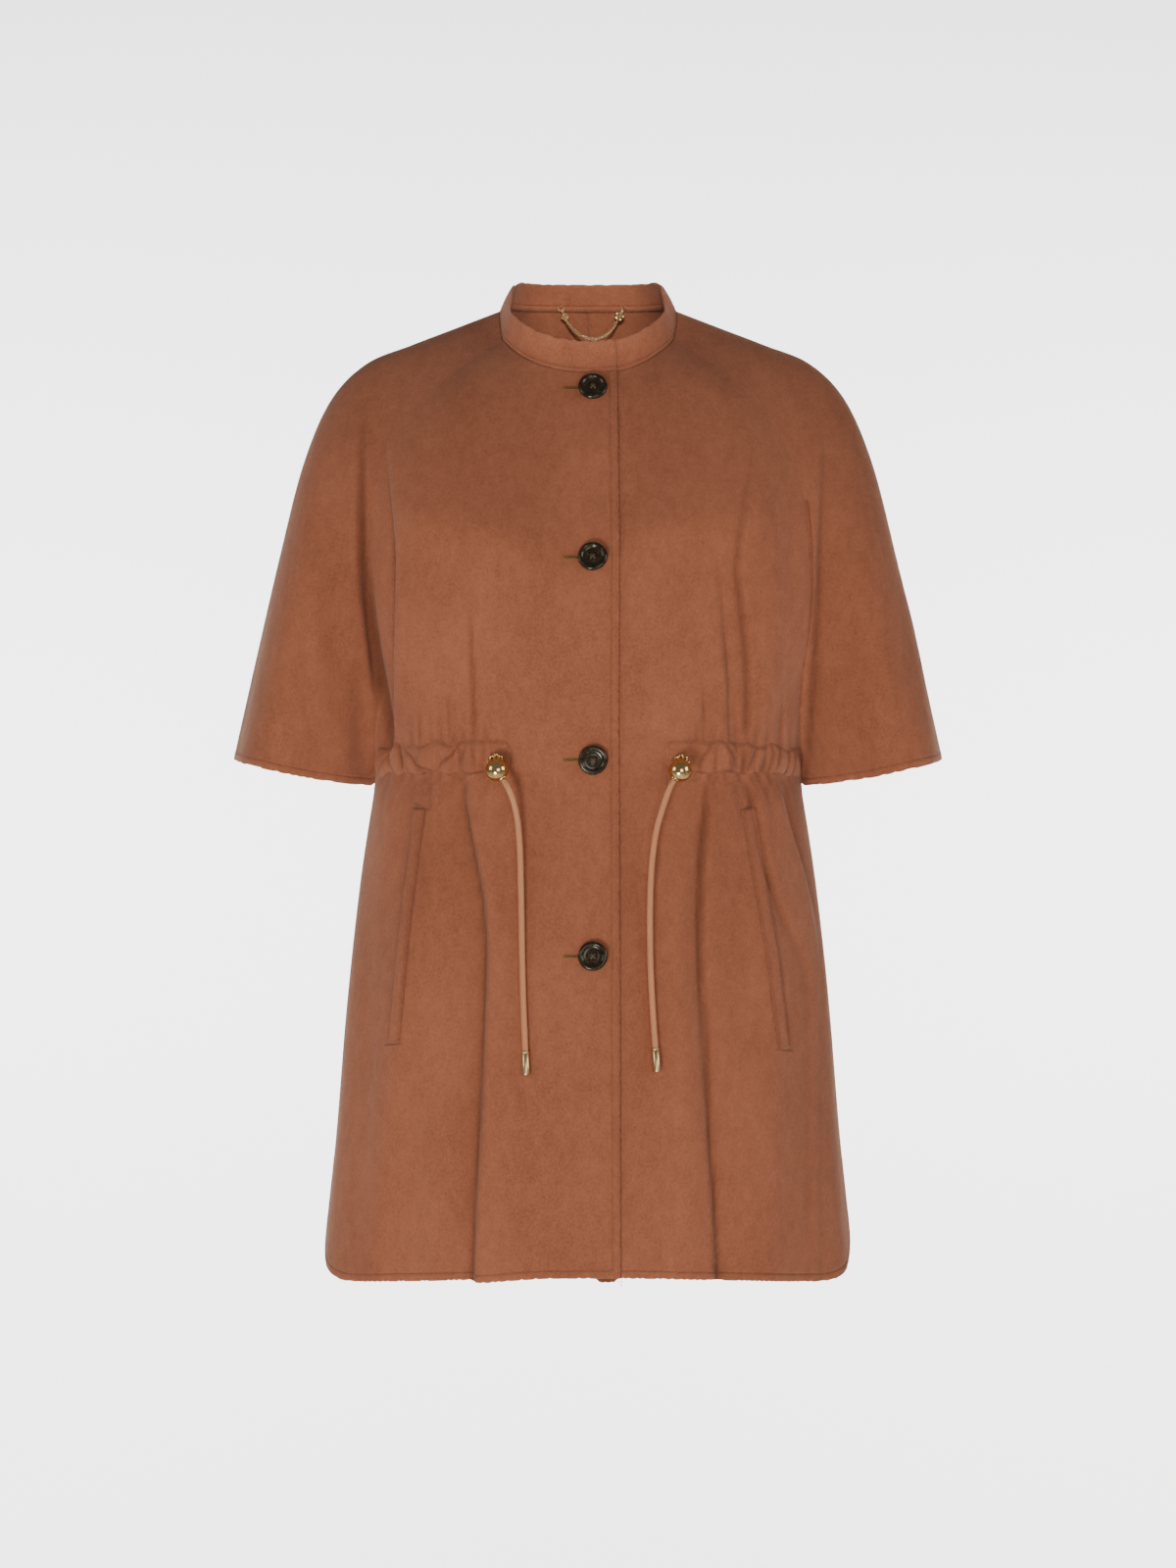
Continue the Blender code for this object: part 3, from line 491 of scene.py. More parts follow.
# %% Tubes about a path
def frames_along(path, up):
    """Tangent, side and normal at each point of a path. The side is square to a fixed direction."""
    tangent = unit(np.gradient(path, axis=0))
    side = unit(np.cross(tangent, np.broadcast_to(up, tangent.shape)))
    return tangent, side, np.cross(side, tangent)


def ring_quads(rows, columns, closed=False):
    """Quads between neighbouring rings of a grid, and where it is closed from the last ring to the
    first: each ring's columns meet round."""
    r = np.arange(rows if closed else rows - 1)[:, None]
    c = np.arange(columns)[None]
    r_next, c_next = (r + 1) % rows, (c + 1) % columns
    corners = ((r, c), (r, c_next), (r_next, c_next), (r_next, c))
    return np.stack([row * columns + column for row, column in corners], axis=-1).reshape(-1, 4)


def halved(quads):
    """Two triangles for each quad."""
    return np.concatenate([quads[:, [0, 1, 2]], quads[:, [0, 2, 3]]])


def tube(path, run, radius, steps, up=(0.0, 1.0, 0.0)):
    """path + radius * (cos(angle) * side + sin(angle) * normal). radius is a number or a function
    of (angle, run); a point in the middle closes each end. Returns points, triangles and UVs of
    (run, turn)."""
    _, side, normal = frames_along(path, up)
    angle = np.linspace(0, 2 * math.pi, steps, endpoint=False)
    if callable(radius):
        radius = radius(angle[None, :], run[:, None])[..., None]
    along_side, along_normal = np.cos(angle)[None, :, None], np.sin(angle)[None, :, None]
    ring = path[:, None] + radius * (along_side * side[:, None] + along_normal * normal[:, None])
    rows = len(path)
    points = np.concatenate([ring.reshape(-1, 3), path[:1], path[-1:]])
    first, last = rows * steps, rows * steps + 1
    here = np.arange(steps)
    beside, end = (here + 1) % steps, (rows - 1) * steps
    faces = np.concatenate([
        halved(ring_quads(rows, steps)),
        np.stack([beside, here, np.full(steps, first)], axis=1),
        np.stack([here + end, beside + end, np.full(steps, last)], axis=1),
    ])
    uv = np.concatenate([
        np.stack([np.repeat(run, steps) * MM, np.tile(angle / (2 * math.pi), rows)], axis=1),
        [[run[0] * MM, 0.5], [run[-1] * MM, 0.5]],
    ])
    return points, faces, uv


# %% The two tails
CORD_DIAMETER = 5.4
CORD_ROUTES = {
    "right": (
        (-68.8, -118.4, -398.8), (-66.1, -119.3, -403.2), (-63.2, -119.2, -409.5),
        (-60.4, -118.4, -418), (-57.9, -117.2, -430), (-56.3, -116.4, -445), (-55.4, -116, -462),
        (-54.9, -116, -480), (-54.5, -116.6, -498), (-54.2, -117.4, -516), (-53.9, -118.4, -534),
        (-53.5, -119.6, -552), (-53, -121, -570), (-52.4, -122.6, -588), (-51.7, -124.2, -604),
        (-51.1, -125.8, -619.5),
    ),
    "left": (
        (69.8, -118.2, -399.3), (67.2, -119.2, -404), (64, -119, -412.5), (60, -118, -425),
        (56.4, -117, -438), (53.8, -116.3, -453), (52.2, -116, -468), (51.2, -116, -485),
        (50.7, -116.4, -502), (50.6, -117.1, -519), (50.8, -118, -537), (51.3, -119.1, -555),
        (52.1, -120.4, -573), (53.1, -121.9, -590), (54.1, -123.2, -604), (55, -124.5, -617),
    ),
}
TWIST_PITCH = 11.0  # one strand's full turn, in millimetres
TWIST_STRANDS = 6


def cord_radius(angle, run):
    """Six strands side by side, turning about the cord: the radius dips between them."""
    phase = TWIST_STRANDS * (angle + 2 * math.pi * run / TWIST_PITCH) / 2
    return CORD_DIAMETER / 2 * (0.93 + 0.07 * np.abs(np.cos(phase)))


def make_tail(side_name):
    """A tube with the cord's radius along its route. Its UV turns with the strands."""
    path, run = even_path(CORD_ROUTES[side_name], 0.42)
    points, faces, uv = tube(path, run, cord_radius, 20)
    uv[:, 1] += uv[:, 0] / (TWIST_PITCH * MM)
    mesh = make_mesh(f"tail_{side_name}", points, faces, uv)
    piece = add_piece(f"tail_{side_name}", mesh, satin, "satin_cord", f"cord_{side_name}")
    return piece, path, run[-1]


tails = {name: make_tail(name) for name in CORD_ROUTES}
print("tail lengths:", {name: round(float(tail[2]), 1) for name, tail in tails.items()})


# %% Turned shapes
def turned(profile, steps, place, facing):
    """A solid of revolution: the profile (radius, height) carried round an axis, then the axis
    turned to facing and moved to place. Points on the axis are repeated once for each step."""
    profile = np.asarray(profile, float)
    angle = np.linspace(0, 2 * math.pi, steps, endpoint=False)
    axis = unit(np.asarray(facing, float))
    helper = (1.0, 0, 0) if abs(axis[0]) < 0.8 else (0, 1.0, 0)
    side = unit(np.cross(helper, axis))
    ring = np.cos(angle)[:, None] * side + np.sin(angle)[:, None] * np.cross(axis, side)
    radius, height = profile[:, 0, None, None], profile[:, 1, None, None]
    points = np.asarray(place, float) + radius * ring[None] + height * axis
    return points.reshape(-1, 3), ring_quads(len(profile), steps)


def joined(parts):
    """Several (points, faces) as one."""
    start, points, faces = 0, [], []
    for some_points, some_faces in parts:
        points.append(some_points)
        faces.append(np.asarray(some_faces) + start)
        start += len(some_points)
    return np.concatenate(points), np.concatenate(faces)


def outward_faces(mesh, poles=False):
    """The mesh with its faces turned outwards. With poles, the points that lie on each other on a
    turned shape's axis are merged first, and its sharp edges stay sharp."""
    work = bmesh.new()
    work.from_mesh(mesh)
    if poles:
        bmesh.ops.remove_doubles(work, verts=work.verts, dist=1e-6)
    bmesh.ops.recalc_face_normals(work, faces=work.faces)
    work.to_mesh(mesh)
    work.free()
    if poles:
        mesh.set_sharp_from_angle(angle=math.radians(48))
    return mesh


# %% Metal tips
TIP_RADIUS, TIP_LENGTH = 3.2, 19.5


def make_tip(side_name):
    """A closed cylinder that goes on where the tail ends, with a fine groove near its top."""
    path = tails[side_name][1]
    down = unit(path[-1] - path[-3])
    r, end = TIP_RADIUS, TIP_LENGTH
    profile = [
        (0, 0.2), (2.5, 0.2), (r - 0.25, 0), (r, 0.3), (r, 1.5), (r - 0.14, 1.65), (r, 1.8),
        (r, end - 0.6), (r - 0.12, end - 0.25), (r - 0.5, end), (0, end),
    ]
    tip = make_mesh(f"tip_{side_name}", *turned(profile, 32, path[-1] + 0.3 * down, down))
    tip = outward_faces(tip, poles=True)
    return add_piece(f"tip_{side_name}", tip, soft_gold, "gold_metal", f"cord_tip_{side_name}")


tips = {name: make_tip(name) for name in tails}


# %% [markdown]
# ## The form of the garment
#
# A garment is a surface with two natural directions: round the body, and from the neck down. Body
# and sleeve are cut in one, so one sheet runs from the middle front over the chest, past the crease
# where the sleeve parts from the body, to the overarm. Each level is a pair of cubic Bezier curves
# whose ends and handles stand in a table, and Catmull-Rom curves join the levels. The same tables
# shape the solid model, so that the fine cloth lies on it.

# %% Tables of the form
FRONT_LEVELS = np.array([
    # middle depth, middle height, crease out, depth, height, turns body and sleeve, three reaches
    (74, -61, 71, 38, -30, 66, 74, 44, 20, 13),
    (84, -90, 99, 48, -50, 58, 62, 58, 30, 17),
    (97, -127, 131, 57, -76, 50, 54, 72, 36, 21),
    (108, -167, 158, 66, -112, 46, 45, 84, 42, 27),
    (117, -206, 177, 72, -156, 45, 30, 90, 44, 28),
    (121, -248, 183, 74, -210, 50, 6, 95, 46, 32),
    (118, -293, 182, 66, -268, 58, -22, 98, 50, 38),
    (112, -343, 176, 44, -332, 66, -42, 104, 54, 50),
    (106, -398, 181, 2.0, -403, 78, -60, 110, 62, 78),
], float)
BACK_LEVELS = np.array([
    (63, 9, 66, 38, 8, 58, 66, 42, 22, 14),
    (82, -24, 97, 46, -10, 54, 58, 58, 32, 18),
    (97, -64, 128, 56, -40, 48, 52, 72, 38, 22),
    (108, -110, 156, 66, -84, 45, 44, 84, 42, 27),
    (112, -158, 176, 73, -134, 45, 30, 90, 44, 28),
    (110, -208, 184, 75, -190, 50, 6, 95, 46, 32),
    (103, -268, 183, 66, -254, 58, -22, 98, 50, 38),
    (96, -332, 177, 43, -324, 66, -42, 102, 54, 50),
    (92, -398, 181, 2.0, -403, 78, -60, 106, 58, 78),
], float)
OVERARM_LEVELS = np.array([
    # out, height, front reach, back reach
    (75, 0, 13, 14), (111, -14, 18, 19), (150, -29, 24, 25), (188.5, -45, 29, 30),
    (218.5, -76, 36, 37), (241.5, -130, 50, 50), (261.5, -209, 70, 70), (281, -292, 92, 92),
    (301, -381, 113, 113),
], float)
SKIRT_LEVELS = np.array([
    # height at the side, front depth, back depth, half width
    (-403, 106, 92, 181), (-485, 112, 105, 193.5), (-590, 122, 121, 205),
    (-705, 133, 133, 214.5), (-820, 142, 141, 227),
], float)
HALF_LAP, LAP_LIFT = 26.0, 1.35
HEM_RISE, SKIRT_REACH = (18.0, 4.0), (112.0, 66.0)
SIDE_VENT, HEM_CORNER = (-718.0, 3.0), (100.0, 56.0)
WAIST = len(FRONT_LEVELS) - 1
HEM = WAIST + len(SKIRT_LEVELS) - 1
CLOTH, SEAM_OVER = 2.2, 0.1


# %% The surface from its tables
def bezier(a, b, c, d, t):
    """(1-t)^3 a + 3 (1-t)^2 t b + 3 (1-t) t^2 c + t^3 d."""
    return (1 - t) ** 3 * a + 3 * (1 - t) ** 2 * t * b + 3 * (1 - t) * t**2 * c + t**3 * d


def soft_step(x, low, high):
    """0 below low, 1 above high, and 3 t^2 - 2 t^3 between."""
    t = np.clip((x - low) / (high - low), 0, 1)
    return t * t * (3 - 2 * t)


def upper_surface(face, across, level):
    """Above the waist. across is 0 at the middle, 1 at the crease, 2 on the overarm, and below 0
    in the lap; level is 0 at the neck and 8 at the waist."""
    table = FRONT_LEVELS if face == FRONT else BACK_LEVELS
    (mid_depth, mid_height, out, depth, height, body_turn, sleeve_turn, mid_reach,
     body_reach, crease_reach) = np.moveaxis(between_rows(table, level), -1, 0)
    arm_out, arm_height, front_reach, back_reach = np.moveaxis(
        between_rows(OVERARM_LEVELS, level), -1, 0
    )
    arm_reach = front_reach if face == FRONT else back_reach
    body_turn, sleeve_turn = np.radians(body_turn), np.radians(sleeve_turn)
    body_rise, sleeve_rise = height - mid_height, arm_height - height
    same_way = body_rise * sleeve_rise > 0
    slope = np.where(
        same_way, 2 * body_rise * sleeve_rise / np.where(same_way, body_rise + sleeve_rise, 1), 0
    )
    t = np.clip(np.abs(across), 0, 1)
    x = bezier(0, mid_reach, out - body_reach * np.cos(body_turn), out, t)
    y = bezier(mid_depth, mid_depth, depth + body_reach * np.sin(body_turn), depth, t)
    z = bezier(mid_height, mid_height, height - slope / 3, height, t)
    x = np.where(across < 0, -x, x)
    t = np.clip(across - 1, 0, 1)
    sleeve = across > 1
    x = np.where(
        sleeve, bezier(out, out + crease_reach * np.cos(sleeve_turn), arm_out, arm_out, t), x
    )
    y = np.where(
        sleeve, bezier(depth, depth - crease_reach * np.sin(sleeve_turn), arm_reach, 0, t), y
    )
    z = np.where(sleeve, bezier(height, height + slope / 3, arm_height, arm_height, t), z)
    return x, y, z


def skirt_surface(face, across, drop):
    """Below the waist. across is 1 at the side seam; drop is 0 at the waist and 4 at the hem."""
    side_height, front_depth, back_depth, side_out = np.moveaxis(
        between_rows(SKIRT_LEVELS, drop), -1, 0
    )
    mid_depth = front_depth if face == FRONT else back_depth
    down = drop / (len(SKIRT_LEVELS) - 1)
    table = FRONT_LEVELS if face == FRONT else BACK_LEVELS
    waist_rise = table[-1, 1] - SKIRT_LEVELS[0, 0]
    rise = waist_rise * (1 - down) + HEM_RISE[0 if face == FRONT else 1] * down
    middle, side = SKIRT_REACH
    t = np.clip(np.abs(across), 0, 1)
    x = bezier(0, middle, side_out, side_out, t)
    y = bezier(mid_depth, mid_depth, side, 0, t)
    z = side_height + rise * (1 - soft_step(t, 0, 1))
    return np.where(across < 0, -x, x), y, z


def form(face, side, across, level):
    """The outer surface with no folds."""
    upper = upper_surface(face, across, np.minimum(level, WAIST))
    skirt = skirt_surface(face, np.minimum(across, 1), np.maximum(level - WAIST, 0))
    x, y, z = (np.where(level > WAIST, s, u) for u, s in zip(upper, skirt))
    return np.stack([side * x, face * y, z], axis=-1)


def outward(surface, face, side, across, level):
    """Unit normals: the cross product of the surface's slopes along its two parameters."""
    step = 2e-3
    limit = np.where(level > WAIST, 1.0, 2.0)
    low_level = np.where(level > WAIST, WAIST + 1e-6, 0)
    high_level = np.where(level > WAIST, HEM, WAIST)
    along = surface(face, side, np.minimum(across + step, limit), level) - surface(
        face, side, across - step, level
    )
    down = surface(face, side, across, np.minimum(level + step, high_level)) - surface(
        face, side, across, np.maximum(level - step, low_level)
    )
    return unit(np.cross(along, down) * face * side)


middle_front = form(FRONT, LEFT, np.zeros(3), np.array([0.0, 8.0, 12.0]))
print("middle front at neck, waist and hem:", middle_front.round(1).tolist())


# %% [markdown]
# ## Folds
#
# Pressed wool does not ripple like silk: it breaks into a few long soft pleats that start under the
# chest, run into the gathered waist and open again in the skirt. A fold has a sharp side and a soft
# side. Here each is a line down the cloth with a step that rises quickly on one side and dies away
# slowly on both. Short gathers fan out above and below the waist.

# %% Fold tables
# Each fold: points (x, height) from its top to its foot, the step's size, how soon it steps, how
# far it dies away, the side that stands higher, +1 for +X, and how much it has faded at its foot.
# All in millimetres.
FRONT_FOLDS = (
    (((-178, -60), (-187, -83), (-188, -160), (-186, -237), (-179, -300), (-171, -351), (-166, -400)),
     5.2, 3.0, 22, -1, 1),
    (((190, -84), (196, -108), (193, -186), (189, -270), (186, -330), (184, -400)),
     3.6, 2.8, 18, -1, 1),
    (((-172, -95), (-168, -125), (-160, -194), (-160, -245), (-163, -305), (-165, -372)),
     4.6, 2.6, 26, 1, 1),
    (((-96, -235), (-95, -290), (-94, -330), (-93, -372)), 2.0, 1.8, 16, -1, 1),
    (((-114, -320), (-113, -345), (-112, -372)), 1.2, 1.8, 9, 1, 1),
    (((-137, -330), (-138, -350), (-139, -372)), 1.0, 2.0, 9, -1, 1),
    (((-104, -392), (-99.5, -427), (-92, -467), (-86.5, -500), (-84, -543), (-86, -608),
      (-88.6, -680), (-91.7, -735), (-94, -812)), 5.4, 3.0, 28, 1, 0),
    (((-134, -398), (-131, -412), (-127, -432)), 2.2, 1.8, 12, 1, 1),
    (((137, -105), (134, -130), (127, -165), (120, -221), (124, -254), (130, -305), (131, -372)),
     2.5, 3.0, 24, 1, 1),
    (((104, -205), (106, -225), (110, -271), (115, -322), (116, -372)), 2.4, 1.8, 13, -1, 1),
    (((93, -310), (94, -340), (95, -372)), 1.5, 1.6, 9, -1, 1),
    (((159, -318), (159, -345), (158, -372)), 1.7, 1.8, 11, 1, 1),
    (((100, -390), (96.8, -427), (92.7, -470), (91.5, -528), (93.3, -586), (96.5, -644),
      (100, -690), (103.5, -740), (106, -812)), 4.4, 3.0, 26, 1, 0.9),
    (((95, -570), (98, -644), (100, -690), (103.5, -740), (106, -812)), 4.0, 3.0, 44, -1, 0),
    (((132, -396), (137, -432), (146, -474), (160, -511), (176, -545), (184, -575)),
     3.4, 2.8, 22, 1, 0.8),
    (((158, -396), (165, -420), (174, -450), (184, -482), (191, -520), (194, -560)),
     3.0, 2.6, 20, -1, 0.8),
)
BACK_FOLDS = (
    (((-184, -90), (-188, -160), (-187, -240), (-180, -310), (-172, -395)), 3.8, 3.0, 22, -1, 1),
    (((186, -80), (192, -150), (190, -240), (186, -320), (182, -395)), 3.6, 3.0, 20, 1, 1),
    (((-158, -150), (-154, -200), (-153, -270), (-157, -372)), 4.2, 2.6, 26, 1, 1),
    (((-72, -215), (-73, -260), (-71, -320), (-69, -372)), 2.4, 2.2, 18, -1, 1),
    (((-104, -290), (-103, -330), (-101, -372)), 1.6, 1.8, 11, 1, 1),
    (((-124, -325), (-124, -372)), 1.2, 1.8, 9, -1, 1),
    (((-36, -320), (-35, -345), (-34, -372)), 1.3, 1.8, 10, 1, 1),
    (((-88, -392), (-91, -480), (-94, -580), (-99, -700), (-104, -812)), 6.0, 2.6, 26, -1, 1),
    (((-138, -396), (-148, -460), (-158, -540), (-172, -680)), 3.6, 3.0, 22, 1, 1),
    (((-36, -392), (-40, -500), (-44, -640)), 2.6, 5.0, 26, 1, 1),
    (((134, -140), (132, -200), (134, -270), (138, -372)), 4.0, 2.6, 24, -1, 1),
    (((86, -250), (84, -290), (82, -330), (80, -372)), 2.4, 1.8, 14, 1, 1),
    (((112, -310), (112, -340), (113, -372)), 1.5, 1.7, 9, -1, 1),
    (((44, -325), (44, -350), (45, -372)), 1.3, 1.8, 10, -1, 1),
    (((78, -392), (81, -480), (85, -600), (92, -700), (98, -812)), 5.8, 2.5, 26, 1, 1),
    (((140, -396), (147, -440), (154, -500), (170, -650)), 3.4, 2.8, 20, -1, 1),
    (((30, -392), (34, -520), (40, -700)), 2.8, 6.0, 26, -1, 1),
)
# Gathers at the casing: x, then how far each runs up and down from it.
GATHERS = {
    (FRONT, RIGHT): ((-84, 16, 22), (-101, 20, 30), (-109, 34, 12), (-121, 40, 34), (-129, 18, 20),
                     (-146, 14, 42), (-154, 10, 20), (-172, 14, 34)),
    (FRONT, LEFT): ((83, 14, 16), (89, 26, 22), (104, 30, 36), (111, 22, 14), (123, 26, 40),
                    (138, 40, 26), (147, 30, 46), (167, 34, 30), (174, 20, 24)),
    (BACK, RIGHT): ((-12, 22, 24), (-24, 34, 18), (-47, 26, 38), (-58, 40, 22), (-80, 22, 30),
                    (-92, 36, 24), (-112, 28, 40), (-134, 38, 26), (-146, 22, 34), (-168, 34, 30)),
    (BACK, LEFT): ((11, 26, 20), (22, 20, 34), (36, 38, 24), (56, 24, 40), (68, 34, 22),
                   (92, 26, 34), (102, 40, 26), (126, 30, 38), (148, 24, 26), (165, 36, 34)),
}
CASING_TOP, CASING_FOOT = -366.0, -394.0
GATHER_PUSH, GATHER_WIDTH = 1.9, 3.7
FOLD_GAIN = 1.75
# Soft ridges: head and foot (x, height), half width, height. They carry the light.
RIDGES = {
    FRONT: ((-128, -420, -182, -800, 22, 6.0), (-20, -400, -16, -800, 26, 3.2),
            (74, -430, 79, -810, 13, 5.2), (122, -400, 150, -560, 16, 3.2),
            (196, -480, 208, -800, 14, 4.0), (-50, -650, -48, -810, 14, 2.0),
            (-215, -90, -262, -370, 16, 3.6), (-128, -230, -120, -360, 20, 3.0),
            (-52, -250, -46, -380, 26, 2.2), (70, -230, 66, -360, 22, 2.6),
            (150, -180, 148, -350, 13, 3.4), (222, -120, 250, -380, 18, 3.4),
            (-232, -160, -214, -380, 12, 2.4), (276, -220, 284, -384, 14, 2.6),
            (-189, -300, -186, -402, 10, -4.6)),
    BACK: ((-120, -420, -150, -800, 22, 4.5), (-20, -420, -24, -800, 24, 3.0),
           (54, -430, 62, -810, 18, 4.6), (120, -400, 150, -600, 18, 3.2),
           (196, -480, 206, -800, 14, 3.5), (-215, -90, -262, -370, 16, 3.6),
           (222, -120, 250, -380, 18, 3.4), (-118, -200, -112, -360, 20, 3.0),
           (-50, -240, -44, -370, 22, 2.6), (58, -220, 56, -360, 22, 3.0),
           (118, -180, 116, -350, 16, 3.2), (-190, -440, -200, -700, 14, 3.0)),
}


def fold_lines(face, x, z):
    """For each fold: u, the distance from its line, positive on the side that stands higher, its
    strength at this height, and its size, quick and far."""
    for line, size, quick, far, high, foot_fade in (FRONT_FOLDS if face == FRONT else BACK_FOLDS):
        line = np.array(line, float)
        heights = np.linspace(line[0, 1], line[-1, 1], 60)
        row = np.interp(-heights, -line[:, 1], np.arange(len(line)))
        middle = np.interp(-z, -heights, between_rows(line, row)[:, 0])
        t = (line[0, 1] - z) / (line[0, 1] - line[-1, 1])
        below = line[0, 1] < CASING_TOP  # a fold of the skirt dies away slowly at its foot
        strength = soft_step(t, -0.08, 0.12 if below else 0.6)
        strength = strength * (1 - foot_fade * soft_step(t, 0.35 if below else 0.9, 1.05))
        yield (x - middle) * high, strength, size, quick, far


def fold_step(face, x, z):
    """Sum of steps. A step is size * (0.5 * tanh(u / quick) * exp(-|u| / far) - 0.45 *
    exp(-(u / quick)^2) + 0.14 * exp(-((u - 4 quick) / (4 quick))^2)): high on one side with a
    rolled edge, low on the other, and deepest on the line."""
    pushed = np.zeros_like(x)
    for u, strength, size, quick, far in fold_lines(face, x, z):
        step = 0.5 * np.tanh(u / quick) * np.exp(-np.abs(u) / far)
        step = step - 0.45 * np.exp(-((u / quick) ** 2))
        step = step + 0.14 * np.exp(-(((u - 4 * quick) / (4 * quick)) ** 2))
        pushed += FOLD_GAIN * size * strength * step
    return pushed


def creases(face, x, z):
    """How deep a point lies in a fold or a gather, 0 to 1: the wool is darkened there as painted
    shade, on the fold's line and, more faintly, on its low side.
    """
    deep = np.zeros_like(x)
    for u, strength, size, quick, _ in fold_lines(face, x, z):
        line = np.exp(-((u / (0.9 * quick)) ** 2)) + 0.25 * np.exp(-np.abs(u) / 9) * (u < 0)
        deep = np.maximum(deep, line * strength * min(1.0, 0.30 + 0.14 * size))
    for side in (RIGHT, LEFT):
        for u, fade in gather_lines(face, side, x, z):
            deep = np.maximum(deep, 0.55 * np.exp(-((u / 2.2) ** 2)) * fade)
    return deep


def ridge_push(face, x, z):
    """Sum of height * exp(-(u / width)^2), faded over a quarter of the ridge at both ends."""
    pushed = np.zeros_like(x)
    for x0, z0, x1, z1, width, height in RIDGES[face]:
        t = (z0 - z) / (z0 - z1)
        u = x - (x0 + (x1 - x0) * np.clip(t, -0.2, 1.2))
        fade = soft_step(t, -0.1, 0.3) * (1 - 0.7 * soft_step(t, 0.85, 1.15) * (z1 > -700))
        pushed += height * np.exp(-((u / width) ** 2)) * fade
    return pushed


def gather_lines(face, side, x, z):
    """For each gather: the distance from its line and its strength above and below the casing."""
    for middle, up, down in GATHERS[face, side]:
        above = np.exp(-np.maximum(z - CASING_TOP, 0) / up * 1.6)
        below = np.exp(-np.maximum(CASING_FOOT - z, 0) / down * 1.6)
        lean = 0.05 * side * np.maximum(CASING_FOOT - z, 0)
        yield x - middle - lean, above * below


def gather_push(face, x, z):
    """Short creases above and below the casing: -size * exp(-(x / width)^2), fading over each
    one's own run, and the cloth swelling a little between them."""
    pushed = np.zeros_like(x)
    for side in (RIGHT, LEFT):
        for away, fade in gather_lines(face, side, x, z):
            crease = -np.exp(-((away / GATHER_WIDTH) ** 2))
            swell = 0.45 * np.exp(-(((np.abs(away) - 6.5) / 4.0) ** 2))
            pushed += GATHER_PUSH * (crease + swell) * fade
    return pushed


# Where the front turns from looking up, over the bust, to hanging: x, height.
BUST_EDGE = np.array([
    (-190, -160), (-150, -180), (-118, -194), (-85, -199), (-55, -207), (-32, -224), (-10, -236),
    (10, -232), (30, -214), (52, -197), (80, -191), (113, -190), (140, -182), (190, -160),
], float)


def broad_shape(face, x, z):
    """The slow shape under the folds. Over the bust it is a soft roof, size * exp(-(sqrt(s^2 +
    r^2) - r) / reach) with s the height above BUST_EDGE; long waves follow in the skirt and the
    sleeves."""
    out = np.abs(x)
    if face == FRONT:
        edge = np.interp(x, BUST_EDGE[:, 0], BUST_EDGE[:, 1])
        off = np.sqrt((z - edge) ** 2 + 13**2) - 13
        bust = 11.0 * np.exp(-off / 46) * (1 - soft_step(out, 128, 176))
        above = 2.6 * np.exp(-(((x + 16) / 20) ** 2) - ((z + 130) / 36) ** 2)
        fan = 2.4 * np.sin(0.050 * x + 0.9) * soft_step(-z, 420, 640)
    else:
        bust = 3.0 * np.exp(-(((out - 80) / 50) ** 2) - ((z + 170) / 60) ** 2)
        above = -1.5 * np.exp(-((out / 24) ** 2) - ((z + 200) / 90) ** 2)
        fan = 2.6 * np.sin(0.046 * x + 0.4) * soft_step(-z, 420, 640)
    sleeve = soft_step(out, 196, 226) * soft_step(-z, 150, 330)
    wave = 3.4 * np.sin((out - 200) * 0.062 + 0.006 * z + (0.6 if face == FRONT else 2.2)) * sleeve
    return bust + above + fan + wave


def hem_drop(side, x):
    """How much lower the hem hangs, in millimetres: right of the long pleat on the upper front, and
    near the upper front's edge on the under one."""
    if side == RIGHT:
        return 2.6 * soft_step(x, -96, -90) * (1 - soft_step(x, -88, -30))
    return 3.4 * soft_step(x, 3, 12) * (1 - soft_step(x, 20, 26))


def cloth(face, side, across, level):
    """The outer surface: the form pushed along its normal by everything above, and on the fronts
    the lap's lift, out for the upper front and in for the under one."""
    plain = form(face, side, across, level)
    x, y, z = np.moveaxis(plain, -1, 0)
    near_seam = soft_step(np.abs(y), 3, 30)
    pushed = fold_step(face, x, z) + gather_push(face, x, z) + broad_shape(face, x, z)
    pushed = (pushed + ridge_push(face, x, z)) * near_seam
    if face == FRONT:
        over = LAP_LIFT if side == RIGHT else -LAP_LIFT
        lapped = 1 - soft_step(side * x, HALF_LAP + 2, HALF_LAP + 34)
        pushed = pushed * (1 - 0.55 * lapped) + over * lapped
        plain[..., 2] -= hem_drop(side, x) * soft_step(-z, 740, 802)
    else:
        pushed = pushed * soft_step(side * x, 0, 14)
    return plain + outward(form, face, side, across, level) * pushed[..., None]


print("folds:", len(FRONT_FOLDS) + len(BACK_FOLDS), "gathers:", sum(map(len, GATHERS.values())))


# %% [markdown]
# ## Fronts and backs
#
# Each panel is a wall 2.2 mm thick: the outer surface, the same surface moved in, and a rounded
# rim where the double-faced cloth is turned in and stitched. Along the shoulder, the side and the
# middle back the edges dip into a seam and reach a tenth of a millimetre into the neighbour, so
# that no light comes through. Every point also keeps its distance to the nearest free edge, so that
# the stitching's groove follows the edge exactly.

# %% Panel grids
UPPER_ROWS, LOWER_ROWS, CORNER_ROWS = 168, 104, 26
FRONT_CELLS, BACK_CELLS, LAP_CELLS = (92, 50), (76, 44), 9


